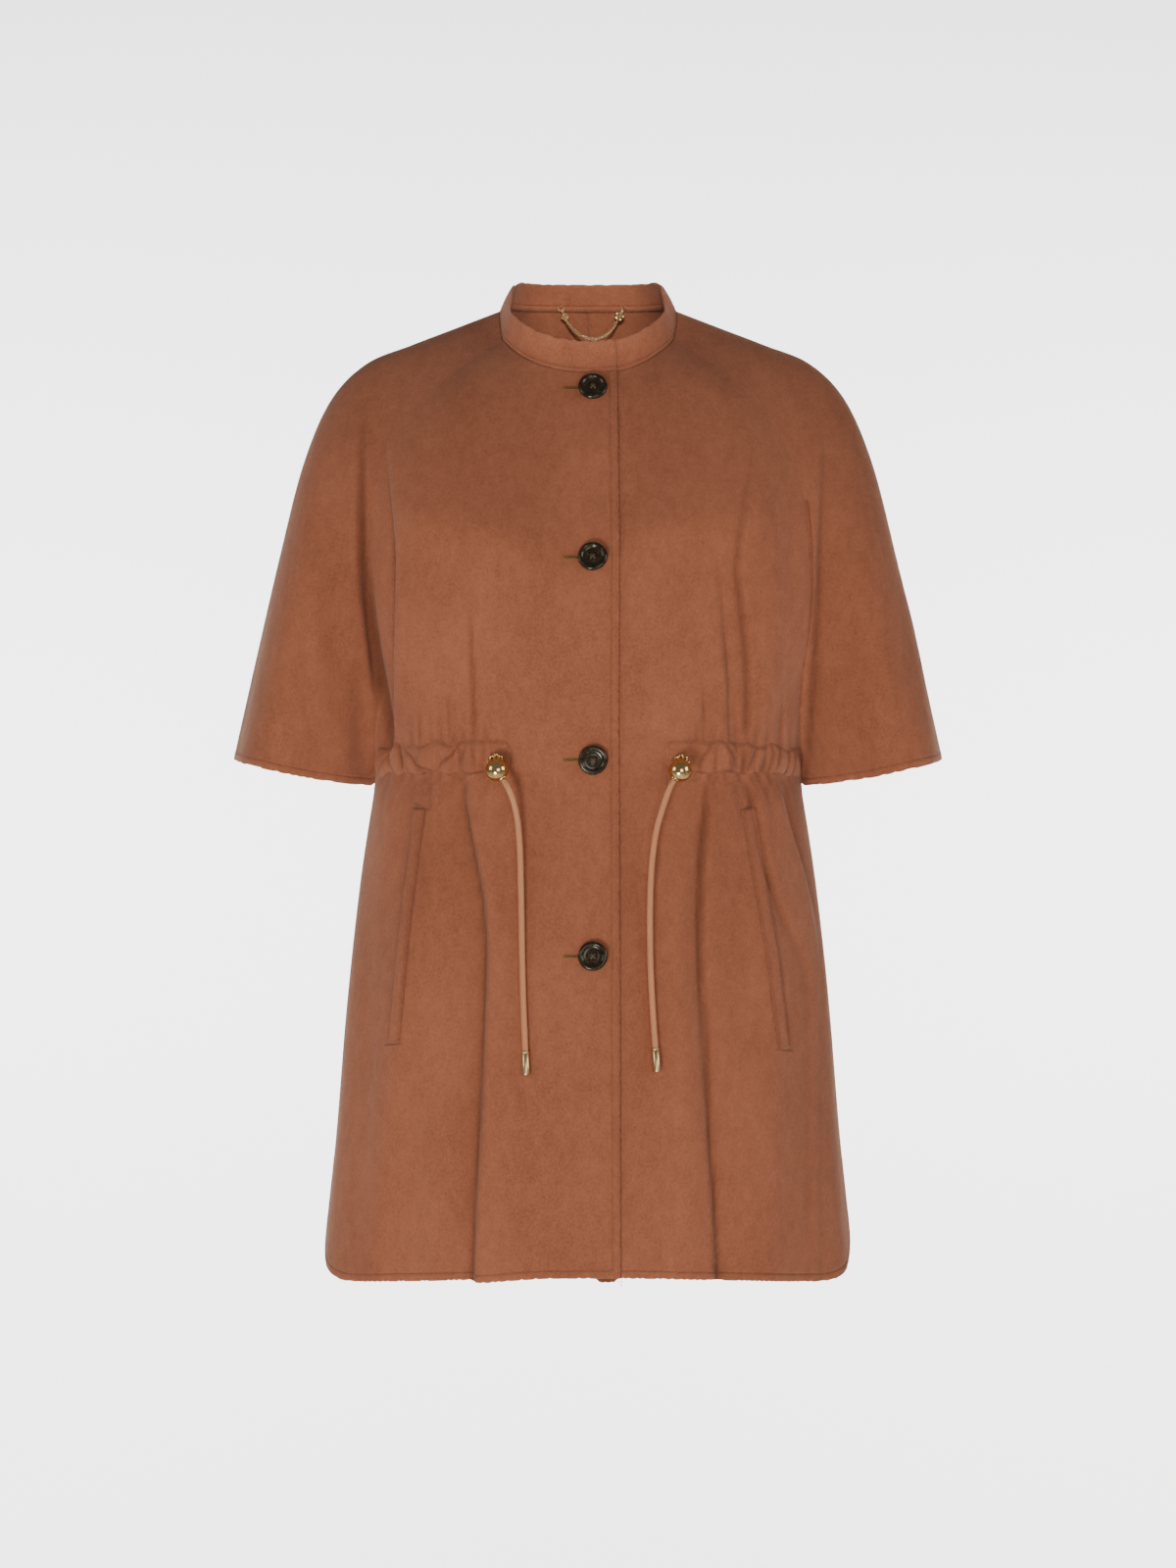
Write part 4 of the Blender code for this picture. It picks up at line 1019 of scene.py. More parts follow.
def panel_grid(face):
    """across and level at each point of a panel, which cells are cloth, and the column of the
    side seam. The hem's corner is a quarter ellipse."""
    body, sleeve = FRONT_CELLS if face == FRONT else BACK_CELLS
    upper = np.linspace(0, WAIST, UPPER_ROWS + 1)
    corner = HEM_CORNER[1] / (SKIRT_LEVELS[-2, 0] - SKIRT_LEVELS[-1, 0])
    straight = np.linspace(WAIST + 0.02, HEM - corner, LOWER_ROWS)
    rounded = HEM - corner + corner * np.sin(np.linspace(0, math.pi / 2, CORNER_ROWS + 1)[1:])
    levels = np.concatenate([upper, straight, rounded])
    acrosses = np.concatenate([np.linspace(0, 1, body + 1), 1 + np.linspace(0, 1, sleeve + 1)[1:]])
    across, level = np.meshgrid(acrosses, levels)
    arc = 0.5 * math.pi * 185.0
    side_height = between_rows(SKIRT_LEVELS, np.maximum(level - WAIST, 0))[..., 0]
    vent = soft_step(-side_height, -SIDE_VENT[0], -SIDE_VENT[0] + 50) * SIDE_VENT[1] / arc
    into = np.clip((level - (HEM - corner)) / corner, 0, 1)
    rounding = HEM_CORNER[0] / arc * (1 - np.sqrt(1 - into**2))
    across = np.where(level > WAIST, np.minimum(across, 1) * (1 - vent - rounding), across)
    if face == FRONT:
        upper_reach = between_rows(FRONT_LEVELS, np.minimum(levels, WAIST))[:, 7]
        edge = -HALF_LAP / (3 * np.where(levels > WAIST, SKIRT_REACH[0], upper_reach))
        lap = edge[:, None] * np.linspace(1, 0, LAP_CELLS + 1)[None, :-1]
        across = np.concatenate([lap, across], axis=1)
        level = np.concatenate([np.repeat(levels[:, None], LAP_CELLS, axis=1), level], axis=1)
        body += LAP_CELLS
    rows, columns = across.shape
    cells = np.ones((rows - 1, columns - 1), bool)
    cells[UPPER_ROWS:, body:] = False
    return across, level, cells, body


def cell_quads(cells):
    """Which points of a grid its cells use, and each cell as four numbers of the used points."""
    rows, columns = cells.shape
    used = np.zeros((rows + 1, columns + 1), bool)
    for dr in (0, 1):
        for dc in (0, 1):
            used[dr : rows + dr, dc : columns + dc] |= cells
    number = np.cumsum(used).reshape(used.shape) - 1
    r, c = np.nonzero(cells)
    corners = (number[r, c], number[r, c + 1], number[r + 1, c + 1], number[r + 1, c])
    return used, np.stack(corners, axis=1)


def rim_of(quads, points):
    """Starts and ends of the edges that belong to one cell alone, and for each point the unit
    direction out of the grid there, square to the rim."""
    count = len(points)
    starts, ends = quads.ravel(), np.roll(quads, -1, axis=1).ravel()
    rim = ~np.isin(starts * count + ends, ends * count + starts)
    a, b = starts[rim], ends[rim]
    centres = np.repeat(points[quads].mean(axis=1), 4, axis=0)[rim]
    along = unit(points[b] - points[a])
    out = points[a] - centres
    out = unit(out - along * (out * along).sum(axis=1, keepdims=True))
    away = np.zeros_like(points)
    np.add.at(away, a, out)
    np.add.at(away, b, out)
    return a, b, unit(away)


def wall(outer, inner, cells, flip, round_edge):
    """A closed wall between two grids. The rim bulges by round_edge (one number, or one for each
    point) half way through the thickness. Returns points, faces, which used point each came from,
    and which points of the grid are used."""
    used, quads = cell_quads(cells)
    outer_points, inner_points = outer[used], inner[used]
    count = len(outer_points)
    a, b, away = rim_of(quads, outer_points)
    rim_points = np.unique(np.concatenate([a, b]))
    bulge = np.full(count, -1)
    bulge[rim_points] = 2 * count + np.arange(len(rim_points))
    reach = round_edge[used][rim_points][:, None] if np.ndim(round_edge) else round_edge
    middle = (outer_points + inner_points)[rim_points] / 2 + away[rim_points] * reach
    faces = np.concatenate([
        quads, quads[:, ::-1] + count,
        np.stack([b, a, bulge[a], bulge[b]], axis=1),
        np.stack([bulge[b], bulge[a], a + count, b + count], axis=1),
    ])
    if flip:
        faces = faces[:, ::-1]
    points = np.concatenate([outer_points, inner_points, middle])
    source = np.concatenate([np.arange(count), np.arange(count), rim_points])
    return points, faces, source, used


def nearest(points, line):
    """Each point's distance to a line of points, worked out in blocks."""
    found = np.empty(len(points))
    for start in range(0, len(points), 4000):
        block = points[start : start + 4000]
        square = ((block[:, None] - line[None]) ** 2).sum(axis=2)
        found[start : start + 4000] = np.sqrt(square.min(axis=1))
    return found


def dense(line, spacing=1.5):
    """A polyline with points every spacing millimetres."""
    run = distances(line)
    return read_along(np.linspace(0, run[-1], int(run[-1] / spacing) + 2), run, line)


# %% Surfaces of a panel
EDGE_ROUND, EDGE_ROLL, ROLL_RUN = 0.75, 0.45, 2.6  # the turned edge's bulge, and how it rolls in
SEAM_DIP, SEAM_RUN = 0.8, 2.2
NO_SEAM = 50.0  # a distance from a seam at which it leaves no trace
EASED_ROWS, EASED_TIMES = 14, 24


def edge_roll(edge):
    """How far a turned edge rolls in at a distance from it: EDGE_ROLL * (1 - edge / ROLL_RUN)^2."""
    return EDGE_ROLL * np.clip(1 - edge / ROLL_RUN, 0, 1) ** 2


def eased_waist(outer, body):
    """Body and skirt made to meet in a soft bend: again and again, each row beside the waist moves
    a share of the way to the middle of its neighbours."""
    near = outer[UPPER_ROWS - EASED_ROWS : UPPER_ROWS + EASED_ROWS + 1, : body + 1]
    share = 0.5 * np.cos(np.linspace(-math.pi / 2, math.pi / 2, len(near)))[1:-1, None, None]
    for _ in range(EASED_TIMES):
        even = (near[:-2] + near[2:]) / 2
        near[1:-1] += share * (even - near[1:-1])
    return outer


def panel_normals(face, side, across, level):
    """Unit normals, laid in the plane of a seam on its points, and where the side seam is."""
    normal = outward(cloth, face, side, across, level)
    side_seam = (level > WAIST) & (across >= 0.985)
    normal[(across >= 2) | side_seam, 1] = 0
    if face == BACK:
        normal[across <= 0, 0] = 0
    return unit(normal), side_seam


def free_edges(face, outer, body):
    """Hem, sleeve hem, side vent and, in front, the opening, as dense lines."""
    vent = int(np.argmax(outer[:, body, 2] < SIDE_VENT[0]))
    lines = [outer[-1, : body + 1], outer[UPPER_ROWS, body:], outer[vent:, body]]
    if face == FRONT:
        lines.append(outer[:, 0])
    return [dense(line) for line in lines]


def meet_neighbour(points, face, side, across, sewn):
    """Move a seam's points SEAM_OVER past its plane and keep all others from crossing it."""
    points[..., 1] = face * np.where(sewn, -SEAM_OVER, np.maximum(face * points[..., 1], 0))
    if face == BACK:
        out = side * points[..., 0]
        points[..., 0] = side * np.where(across <= 0, -SEAM_OVER, np.maximum(out, 0))


def panel_painted_shade(face, side, across, level, seam):
    """Painted shade at each point, 0 to 1: in folds and gathers, along the seams' dips and, on the
    under front, in the hem's corner below the lap."""
    x, _, z = np.moveaxis(form(face, side, across, level), -1, 0)
    crease = np.clip(creases(face, x, z), 0, 1)
    # painted shade along the dip of each seam
    crease = np.maximum(crease, 0.35 * np.exp(-((seam / 1.4) ** 2)))
    # painted shade: the under front's hem corner below the lap is darkened as if the upper front
    # shaded it
    if (face, side) == (FRONT, LEFT):
        under = soft_step(-z, 788, 801) * (1 - soft_step(x, 22, 28))
        crease = np.maximum(crease, 0.95 * under)
    return crease


def panel_surfaces(face, side):
    """Outer and inner points, with the dip along the seams and the swell of the turned edge."""
    across, level, cells, body = panel_grid(face)
    outer = eased_waist(cloth(face, side, across, level), body)
    normal, side_seam = panel_normals(face, side, across, level)
    inner = outer - normal * CLOTH
    free = free_edges(face, outer, body)
    edge = nearest(outer.reshape(-1, 3), np.concatenate(free)).reshape(across.shape)
    seam = np.abs(outer[..., 1])
    if face == BACK:
        seam = np.minimum(seam, np.abs(outer[..., 0]))
    seam = np.where(edge < 1.0, NO_SEAM, seam)
    dip = SEAM_DIP * np.exp(-((seam / SEAM_RUN) ** 2))
    puff = 0.22 * np.exp(-(((edge - 3.4) / 1.8) ** 2))
    outer = outer - normal * (dip + edge_roll(edge) - puff)[..., None]
    inner = inner + normal * edge_roll(edge)[..., None]
    sewn = ((across >= 2) | side_seam) & (edge > 1.0) & (across >= np.where(level > WAIST, 1, 2))
    for points in (outer, inner):
        meet_neighbour(points, face, side, across, sewn)
    if face == BACK:
        sink = np.exp(-((inner[..., 0] / 1.5) ** 2))
        inner = inner + normal * 0.7 * sink[..., None]
    return {"outer": outer, "inner": inner, "normal": normal, "cells": cells, "body": body,
            "crease": panel_painted_shade(face, side, across, level, seam), "edge": edge, "free": free,
            "round": np.where(edge < 0.5, EDGE_ROUND, 0.0)}


# %% The four panels
INNER_CREASE = 0.25  # the share of a crease's shade that the cloth's inner side takes


def make_panel(face, side):
    """A panel's wall as a piece."""
    made = panel_surfaces(face, side)
    points, faces, source, used = wall(
        made["outer"], made["inner"], made["cells"], face * side < 0, made["round"]
    )
    crease = made["crease"][used][source]
    crease[used.sum() : 2 * used.sum()] *= INNER_CREASE
    name = f"{FACE_NAMES[face]}_{SIDE_NAMES[side]}"
    mesh = make_mesh(f"cloth_{name}", points, faces,
                     attributes={"edge_mm": made["edge"][used][source], "crease": crease})
    piece = add_piece(f"cloth_{name}", mesh, wool, "wool", name)
    return made, piece


panels, panel_pieces = {}, {}
for face in FACE_NAMES:
    for side in SIDE_NAMES:
        panels[face, side], panel_pieces[face, side] = make_panel(face, side)


# %% [markdown]
# ## Stand collar
#
# The collar is a straight strip sewn to the neck seam. It leans in a little in front and more at
# the sides and the back, because the neck is narrower than its base. The seam line comes from the
# fronts and backs themselves, so the collar laps in front as they do. Inside, its lower edge hangs
# just past the seam and hides it.

# %% Collar
COLLAR_HEIGHT, COLLAR_GAP, COLLAR_MIDDLE = 26.0, 0.5, -6.0
COLLAR_ROWS, COLLAR_STEPS = 22, 64
COLLAR_CORNER, COLLAR_CUT = 4.5, (0.475, 0.026)
COLLAR_OVERHANG = 2.6  # how far the inner side hangs past the seam
NO_STITCHES = 99.0  # an edge_mm that no row of stitches lies at


def neck_ring():
    """The neck seam from the under front's edge round the back to the upper front's edge."""
    lap = -HALF_LAP / (3 * FRONT_LEVELS[0, 7])
    front = np.concatenate([np.linspace(lap, 0, 13)[:-1], np.linspace(0, 2, COLLAR_STEPS)])
    back = np.linspace(2, 0, COLLAR_STEPS)
    return np.concatenate([
        cloth(face, side, across, np.zeros_like(across))
        for face, side, across in (
            (FRONT, LEFT, front), (BACK, LEFT, back[1:]), (BACK, RIGHT, back[::-1][1:]),
            (FRONT, RIGHT, front[::-1][1:]),
        )
    ])


def collar_surface(t):
    """Points of the collar's outer side at heights t, 0 at the seam to 1 at the top, with the
    direction away from the neck and the distance round the collar."""
    ring = neck_ring()
    away = ring - np.array((0.0, COLLAR_MIDDLE, 0.0))
    away[:, 2] = 0
    lapped = soft_step(np.abs(ring[:, 0]), HALF_LAP, HALF_LAP + 8)
    lapped = np.where(ring[:, 1] < 0, lapped, 1.0)[:, None]
    away = unit(unit(away) * lapped + np.array((0.0, -1.0, 0.0)) * (1 - lapped))
    lean = 0.12 + 0.40 * soft_step(ring[:, 1], -60, 0)
    up = unit(np.array((0.0, 0.0, 1.0)) - away * lean[:, None])
    run = distances(ring)
    from_end = np.minimum(run, run[-1] - run)
    into = np.clip(1 - from_end / COLLAR_CORNER, 0, 1)
    height = COLLAR_HEIGHT - 3.0 * soft_step(ring[:, 1], -55, 45)
    height = height - COLLAR_CORNER * (1 - np.sqrt(1 - into**2))
    t = np.asarray(t)[:, None]
    rise = COLLAR_GAP + (height - COLLAR_GAP)[None] * t
    wave = 0.5 * np.sin(run / 31.0)[None] * t + 0.25 * np.sin(run / 9.0 + 1.0)[None] * t**2
    bulge = 0.8 * np.sin(math.pi * np.clip(t, 0, 1)) + wave
    return ring[None] + away[None] * bulge[..., None] + up[None] * rise[..., None], away, run


def make_collar():
    """The collar's wall from its top row to the seam, its three free edges turned in. The groove
    above the seam is straight, so its edge_mm comes from the height alone."""
    t = 1 - np.linspace(0, 1, COLLAR_ROWS + 1)
    outer, away, run = collar_surface(t)
    inner = outer - away[None] * CLOTH
    inner[-1, :, 2] -= COLLAR_OVERHANG
    free = np.concatenate([dense(outer[0]), outer[:, 0], outer[:, -1]])
    edge = nearest(outer.reshape(-1, 3), free).reshape(outer.shape[:2])
    roll = away[None] * edge_roll(edge)[..., None]
    line = np.where(t < 0.5, STITCH_INSET + (t - 0.13) * 26, NO_STITCHES)
    line = np.repeat(line[:, None], len(run), axis=1)
    cells = np.ones((COLLAR_ROWS, len(run) - 1), bool)
    points, faces, source, used = wall(
        outer - roll, inner + roll, cells, True, np.where(edge < 0.5, EDGE_ROUND, 0.0)
    )
    mesh = make_mesh("collar_cloth", points, faces, attributes={"edge_mm": line[used][source]})
    print("collar length:", round(float(run[-1])), "mm")
    return add_piece("collar_cloth", mesh, wool, "wool", "collar")


collar = make_collar()


# %% [markdown]
# ## Where things lie on the cloth
#
# Casings, welts, buttons and stitches are placed by a point (x, height) seen from the front or the
# back. Two short searches turn such a place into the cloth's own parameters, on whole arrays at
# once: bisection finds the level at which a line down the cloth passes a height, and a second
# bisection round it finds the line that passes x there.

# %% Finding places on the cloth
def level_for(face, side, across, height):
    """Bisection: halve the range of levels until the cloth's height there is the one asked."""
    across, height = np.broadcast_arrays(across, height)
    low, high = np.zeros(across.shape), np.full(across.shape, float(HEM))
    for _ in range(24):
        middle = (low + high) / 2
        above = form(face, side, across, middle)[..., 2] > height
        low, high = np.where(above, middle, low), np.where(above, high, middle)
    return (low + high) / 2


def place_on(face, side, x, height):
    """across and level where the cloth has this x and height: bisection round the body, each step
    with its own level."""
    x, height = np.broadcast_arrays(np.asarray(x, float), np.asarray(height, float))
    low, high = np.full(x.shape, -0.15 if face == FRONT else 0.0), np.ones(x.shape)
    for _ in range(22):
        middle = (low + high) / 2
        short = side * form(face, side, middle, level_for(face, side, middle, height))[..., 0] < (
            side * x
        )
        low, high = np.where(short, middle, low), np.where(short, high, middle)
    middle = (low + high) / 2
    return middle, level_for(face, side, middle, height)


def on_cloth(face, side, x, height):
    """Points of the cloth at places seen from the front or back, and the normals there."""
    across, level = place_on(face, side, x, height)
    return cloth(face, side, across, level), outward(cloth, face, side, across, level)


# %% [markdown]
# ## Waist casing
#
# The cord runs in a channel between two rows of stitching. Pulling it gathers the channel: it puffs
# between the rows and breaks into short slanting puckers. It is a band whose two long edges lie
# down into the rows, with a crease for every pucker.

# %% A band on the cloth
BAND_SEAT = 0.1  # how far the band's underside stands off the cloth, and its rim bulges


def laid_band(name, node, flip, base, normal, lift, deep):
    """A closed band between the cloth's own points and the same points moved out by lift. deep is
    the painted shade at each point, kept as its crease. Returns the piece and the outer points."""
    outer, inner = base + normal * lift[..., None], base + normal * BAND_SEAT
    cells = np.ones((len(base) - 1, base.shape[1] - 1), bool)
    points, faces, source, used = wall(outer, inner, cells, flip, BAND_SEAT)
    mesh = make_mesh(name, points, faces, attributes={
        "edge_mm": np.full(len(points), NO_STITCHES), "crease": deep[used][source]})
    return add_piece(name, mesh, wool, "wool", node), outer


# %% Casings
CASING_START, CASING_END = {FRONT: 0.222, BACK: 0.004}, 0.93  # across, where they begin and end
CASING_TALL, CASING_PUFF, CASING_CORNER = 28.0, 3.0, 7.0
CASING_STEPS, CASING_ROWS = 150, 22
PUCKERS = {
    # how far round from the inner end in mm, slant, bow, strength
    (FRONT, RIGHT): ((31, 2.5, 0, 0.7), (40, 0, 1, 0.8), (46, 1, -1, 0.7), (56, -6, 1, 0.8),
                     (80, 3, 3, 0.5), (89, 11, 0, 1.0), (98, 3, 2, 0.5), (108, 4, 0, 1.0),
                     (121, 7, 3, 0.5), (134, -4, 2, 0.5), (147, 3, 2, 0.4)),
    (FRONT, LEFT): ((35, 4, -2, 0.9), (43, 2, 0, 0.6), (53, 0, 3, 0.8), (58, 2, 0, 0.6),
                    (69, 2, 1, 0.8), (79, 6, -1, 0.7), (91, 4, 0, 0.9), (98, 4, 2, 0.8),
                    (108, 4, 1, 0.9), (120, 5, 2, 0.9), (133, 3, 2, 0.8), (146, -3, 2, 0.8)),
    (BACK, RIGHT): ((8, 3, 2, 0.6), (19, -4, 3, 0.8), (35, 5, 2, 0.9), (41, -2, 3, 0.6),
                    (55, 6, 0, 0.9), (72, -4, 3, 0.8), (80, 2, 2, 0.6), (96, 6, 1, 0.9),
                    (110, -5, 3, 0.8), (118, 3, 2, 0.9), (135, 5, 1, 0.9), (150, -4, 3, 0.8),
                    (163, 4, 2, 0.9), (176, 3, 2, 0.7)),
    (BACK, LEFT): ((10, -3, 2, 0.7), (24, 5, 1, 0.9), (33, 2, 3, 0.6), (50, -6, 2, 0.9),
                   (62, 3, 2, 0.7), (79, 5, 0, 0.9), (87, -3, 3, 0.6), (103, 4, 2, 0.9),
                   (119, 6, 1, 0.8), (128, -4, 3, 0.8), (144, 3, 2, 0.9), (158, -5, 2, 0.8),
                   (171, 4, 2, 0.8)),
}


def casing_lift(face, side, run, v):
    """Puff * sin(pi v)^0.6 between the rows, times 1 - strength * reach * (exp(-away^2) +
    shelf) for each pucker. away is measured from a line that slants and bows from row to row, in
    the pucker's own width; the shelf makes its far side rise slowly; reach ends it part of the way
    up or down. Also the painted shade at each point: darker in each pucker's crease and along the
    stitched rows."""
    lift = np.sin(math.pi * np.clip((v - 0.05) / 0.9, 0, 1)) ** 0.6
    crease, hollow = np.zeros_like(run), np.zeros_like(run)
    lean, bend = (1.9, 2.0) if face == FRONT else (0.9, 1.2)
    for at, slant, bow, strength in PUCKERS[face, side]:
        line = at + lean * slant * (v - 0.5) * 2 + bend * bow * (1 - (2 * v - 1) ** 2)
        away = (run - line) / (2.5 + 0.5 * math.sin(2.3 * at))
        shelf = 0.25 * np.exp(-np.abs(away) / 3) * soft_step(away, -0.5, 2.0)
        reach = strength * np.exp(-(((v - 0.5 - 0.30 * math.sin(1.7 * at)) / 0.6) ** 4))
        hollow = np.maximum(hollow, reach * (np.exp(-(away**2)) + shelf))
        crease = np.maximum(crease, reach * np.exp(-np.abs(1.3 * away) ** 1.5))
    grown = 0.55 + 0.45 * soft_step(run, 10, 60) if face == FRONT else 1.0
    # painted shade along the two stitched rows, where the band dips
    rows = 1.1 * np.exp(-(((v - 0.06) / 0.045) ** 2)) + 0.5 * np.exp(-(((v - 0.94) / 0.035) ** 2))
    deep = np.clip(1.25 * crease * np.sin(math.pi * v) ** 0.3 * grown + rows, 0, 1)
    return 0.35 + CASING_PUFF * grown * lift * (1 - 0.82 * np.minimum(hollow, 1)), deep


def casing_edges(face, side):
    """across, the distance from the inner end, the height of the foot, and how tall the band is
    above it. Both long edges wave where the band is gathered, and a front casing's inner end has
    round corners."""
    across = np.linspace(CASING_START[face], CASING_END, CASING_STEPS)
    foot = CASING_FOOT - 6.0 * np.maximum(0.0, across - 0.3)
    middle = level_for(face, side, across, foot + CASING_TALL / 2)
    run = distances(cloth(face, side, across, middle))
    into = np.clip(1 - run / CASING_CORNER, 0, 1) if face == FRONT else np.zeros_like(run)
    cut_off = CASING_CORNER * (1 - np.sqrt(1 - into**2))
    wavy = soft_step(run, 12, 40) if face == FRONT else 1.0
    foot = foot + wavy * (1.2 * np.sin(run / 7.9 + side) + 0.9 * np.sin(run / 4.3 + 2 * side))
    tall = CASING_TALL + wavy * (0.8 * np.sin(run / 6.1 + 2) - 1.6 * soft_step(run, 40, 130))
    return across, run, foot + 0.7 * cut_off, tall - 1.7 * cut_off


def make_casing(face, side):
    """The gathered band of one panel; a front one sinks to the cloth at its inner end."""
    across, run, foot, tall = casing_edges(face, side)
    v = np.linspace(0, 1, CASING_ROWS + 1)
    height = foot[:, None] + tall[:, None] * v[None]
    across_here = np.repeat(across[:, None], len(v), axis=1)
    run_here, v_here = np.meshgrid(run, v, indexing="ij")
    level = level_for(face, side, across_here, height)
    base = cloth(face, side, across_here, level)
    normal = outward(cloth, face, side, across_here, level)
    lift, deep = casing_lift(face, side, run_here, v_here)
    if face == FRONT:
        lift = 0.3 + (lift - 0.3) * np.sqrt(np.clip(run_here / 6.0, 0, 1))
    name = f"{FACE_NAMES[face]}_{SIDE_NAMES[side]}"
    piece, outer = laid_band(
        f"channel_{name}", f"casing_{name}", face * side < 0, base, normal, lift, deep
    )
    return {"outer": outer, "normal": normal, "run": run}


casings = {(face, side): make_casing(face, side) for face in FACE_NAMES for side in SIDE_NAMES}
print("casing lengths:", [round(float(c["run"][-1])) for c in casings.values()])


# %% [markdown]
# ## Pocket welts
#
# Each pocket opens along a slanted welt, a folded strip stitched flat along both long sides, with a
# short bar of stitches across each end. The strip is laid on the cloth's own points, moved out.

# %% Welts
WELT_WIDTH, WELT_CLOTH = 12.0, 1.25
WELT_ENDS = {RIGHT: ((-140, -422), (-159, -617)), LEFT: ((131, -422), (162, -622))}


def make_welt(side):
    """A strip between two places (x, height), rounded at its edges, with a groove along each long
    one: t runs down it and s across it."""
    top, bottom = (np.array(end, float) for end in WELT_ENDS[side])
    long = np.linalg.norm(bottom - top)
    along = (bottom - top) / long
    square = np.array((-along[1], along[0]))
    t, s = np.meshgrid(np.linspace(0, 1, 130), np.linspace(-1, 1, 13), indexing="ij")
    places = top + (bottom - top) * t[..., None] + square * (s[..., None] * WELT_WIDTH / 2)
    base, normal = on_cloth(FRONT, side, places[..., 0], places[..., 1])
    from_side = (1 - np.abs(s)) * WELT_WIDTH / 2
    edge = np.minimum(np.minimum(t, 1 - t) * long, from_side)
    thick = 0.35 + WELT_CLOTH * np.sqrt(1 - np.clip(1 - edge / 1.6, 0, 1) ** 2)
    thick -= 0.5 * np.exp(-(((from_side - 2.0) / 0.8) ** 2))
    # painted shade: darker at the welt's rim and in the groove 2 mm in, kept as its crease
    deep = 0.58 * np.exp(-(((edge - 0.2) / 1.1) ** 2)) + 0.3 * np.exp(-(((edge - 2.2) / 0.8) ** 2))
    name = SIDE_NAMES[side]
    piece, outer = laid_band(
        f"welt_{name}", f"pocket_welt_{name}", True, base, normal, thick, deep
    )
    return {"outer": outer, "normal": normal}


welts = {side: make_welt(side) for side in SIDE_NAMES}


# %% [markdown]
# ## Topstitching
#
# Every edge is stitched 6 mm in, in thread of the cloth's own colour. A stitch is a short grain of
# thread that dives into the cloth at both ends. All stitches of a row are one small template
# copied along the row as arrays, so that even a few thousand cost little.

# %% Stitch rows
STITCH_PITCH, STITCH_LENGTH, STITCH_RADIUS = 3.1, 2.3, 0.30


def stitch_template(rings=6, sides=6):
    """A grain: along t from -1 to 1 the radius is sqrt(1 - t^2) with a floor, and the middle
    stands above the ends. Returns (t, side, height) and faces."""
    t = np.linspace(-1, 1, rings)
    radius = np.sqrt(np.clip(1 - (0.98 * t) ** 2, 0.04, 1))
    angle = np.linspace(0, 2 * math.pi, sides, endpoint=False)
    grain = np.stack([
        np.repeat(t, sides), (radius[:, None] * np.cos(angle)).ravel(),
        (radius[:, None] * np.sin(angle) - 0.9 * t[:, None] ** 2).ravel(),
    ], axis=1)
    round_side = halved(ring_quads(rings, sides)[:, [0, 3, 2, 1]])
    start = np.array([[0, i + 1, i] for i in range(1, sides - 1)])
    end = start[:, [0, 2, 1]] + (rings - 1) * sides
    return grain, np.concatenate([round_side, start, end])


GRAIN, GRAIN_FACES = stitch_template()


def stitches(path, normal, pitch=STITCH_PITCH, length=STITCH_LENGTH, radius=STITCH_RADIUS,
             sink=0.05):
    """Grains along a path: points = middle + t * tangent * length / 2 + radius * (side, normal)."""
    run = distances(path)
    count = max(1, int(run[-1] / pitch))
    at = (np.arange(count) + 0.5) * run[-1] / count
    up = unit(read_along(at, run, normal))
    ahead = read_along(at + 0.5, run, path) - read_along(at - 0.5, run, path)
    ahead = unit(ahead - up * (ahead * up).sum(axis=1, keepdims=True))
    side = np.cross(up, ahead)
    middle = read_along(at, run, path) - up * sink
    points = (
        middle[:, None]
        + GRAIN[None, :, :1] * ahead[:, None] * length / 2
        + GRAIN[None, :, 1:2] * side[:, None] * radius
        + GRAIN[None, :, 2:] * up[:, None] * radius
    )
    faces = GRAIN_FACES[None] + (np.arange(count) * len(GRAIN))[:, None, None]
    return points.reshape(-1, 3), faces.reshape(-1, 3)


def grid_edge(panel, rows, columns, step):
    """A line of grid points, their normals, and the direction to the point beside each, further
    into the panel."""
    outer, normal = panel["outer"][rows, columns], panel["normal"][rows, columns]
    beside = panel["outer"][rows + step[0], columns + step[1]]
    return outer, normal, beside - outer


def inset_rows(panel, lines):
    """Rows of stitches STITCH_INSET inside the free edges: each point moves square to the edge,
    in the cloth, and points that come closer than that to another edge are left out."""
    free = np.concatenate(panel["free"])
    rows = []
    for line, normal, into in lines:
        tangent = unit(np.gradient(line, axis=0))
        into = into - tangent * (into * tangent).sum(axis=1, keepdims=True)
        into -= normal * (into * normal).sum(axis=1, keepdims=True)
        moved = line + unit(into) * STITCH_INSET
        kept = nearest(moved, free) > STITCH_INSET * 0.93
        breaks = np.nonzero(np.diff(np.concatenate([[0], kept.astype(int), [0]])))[0]
        for first, last in zip(breaks[::2], breaks[1::2]):
            if last - first > 4:
                rows.append((moved[first:last], normal[first:last]))
    return rows


def panel_rows(face, side):
    """Rows inside a panel's side vent, hem, sleeve hem and, in front, the opening."""
    panel = panels[face, side]
    body, last = panel["body"], panel["outer"].shape[0] - 1
    vent = int(np.argmax(panel["outer"][:, body, 2] < SIDE_VENT[0]))
    down, along = np.arange(vent, last), np.arange(0, body)
    sleeve = np.arange(body + 1, panel["outer"].shape[1] - 1)
    lines = [
        grid_edge(panel, down, np.full_like(down, body), (0, -1)),
        grid_edge(panel, np.full_like(along, last), along, (-1, 0)),
        grid_edge(panel, np.full_like(sleeve, UPPER_ROWS), sleeve, (-1, 0)),
    ]
    if face == FRONT:
        front = np.arange(0, last)
        lines.append(grid_edge(panel, front, np.zeros_like(front), (0, 1)))
    return inset_rows(panel, lines)


def add_stitches(name, rows, **how):
    """Rows of stitches, each a path and its normals, as one piece."""
    made = joined([stitches(path, normal, **how) for path, normal in rows])
    return add_piece(name, make_mesh(name, *made), tone_thread, "wool")


# %% All the topstitching
for (face, side), piece in panel_pieces.items():
    add_stitches(piece.name.replace("cloth_", "topstitch_"), panel_rows(face, side))

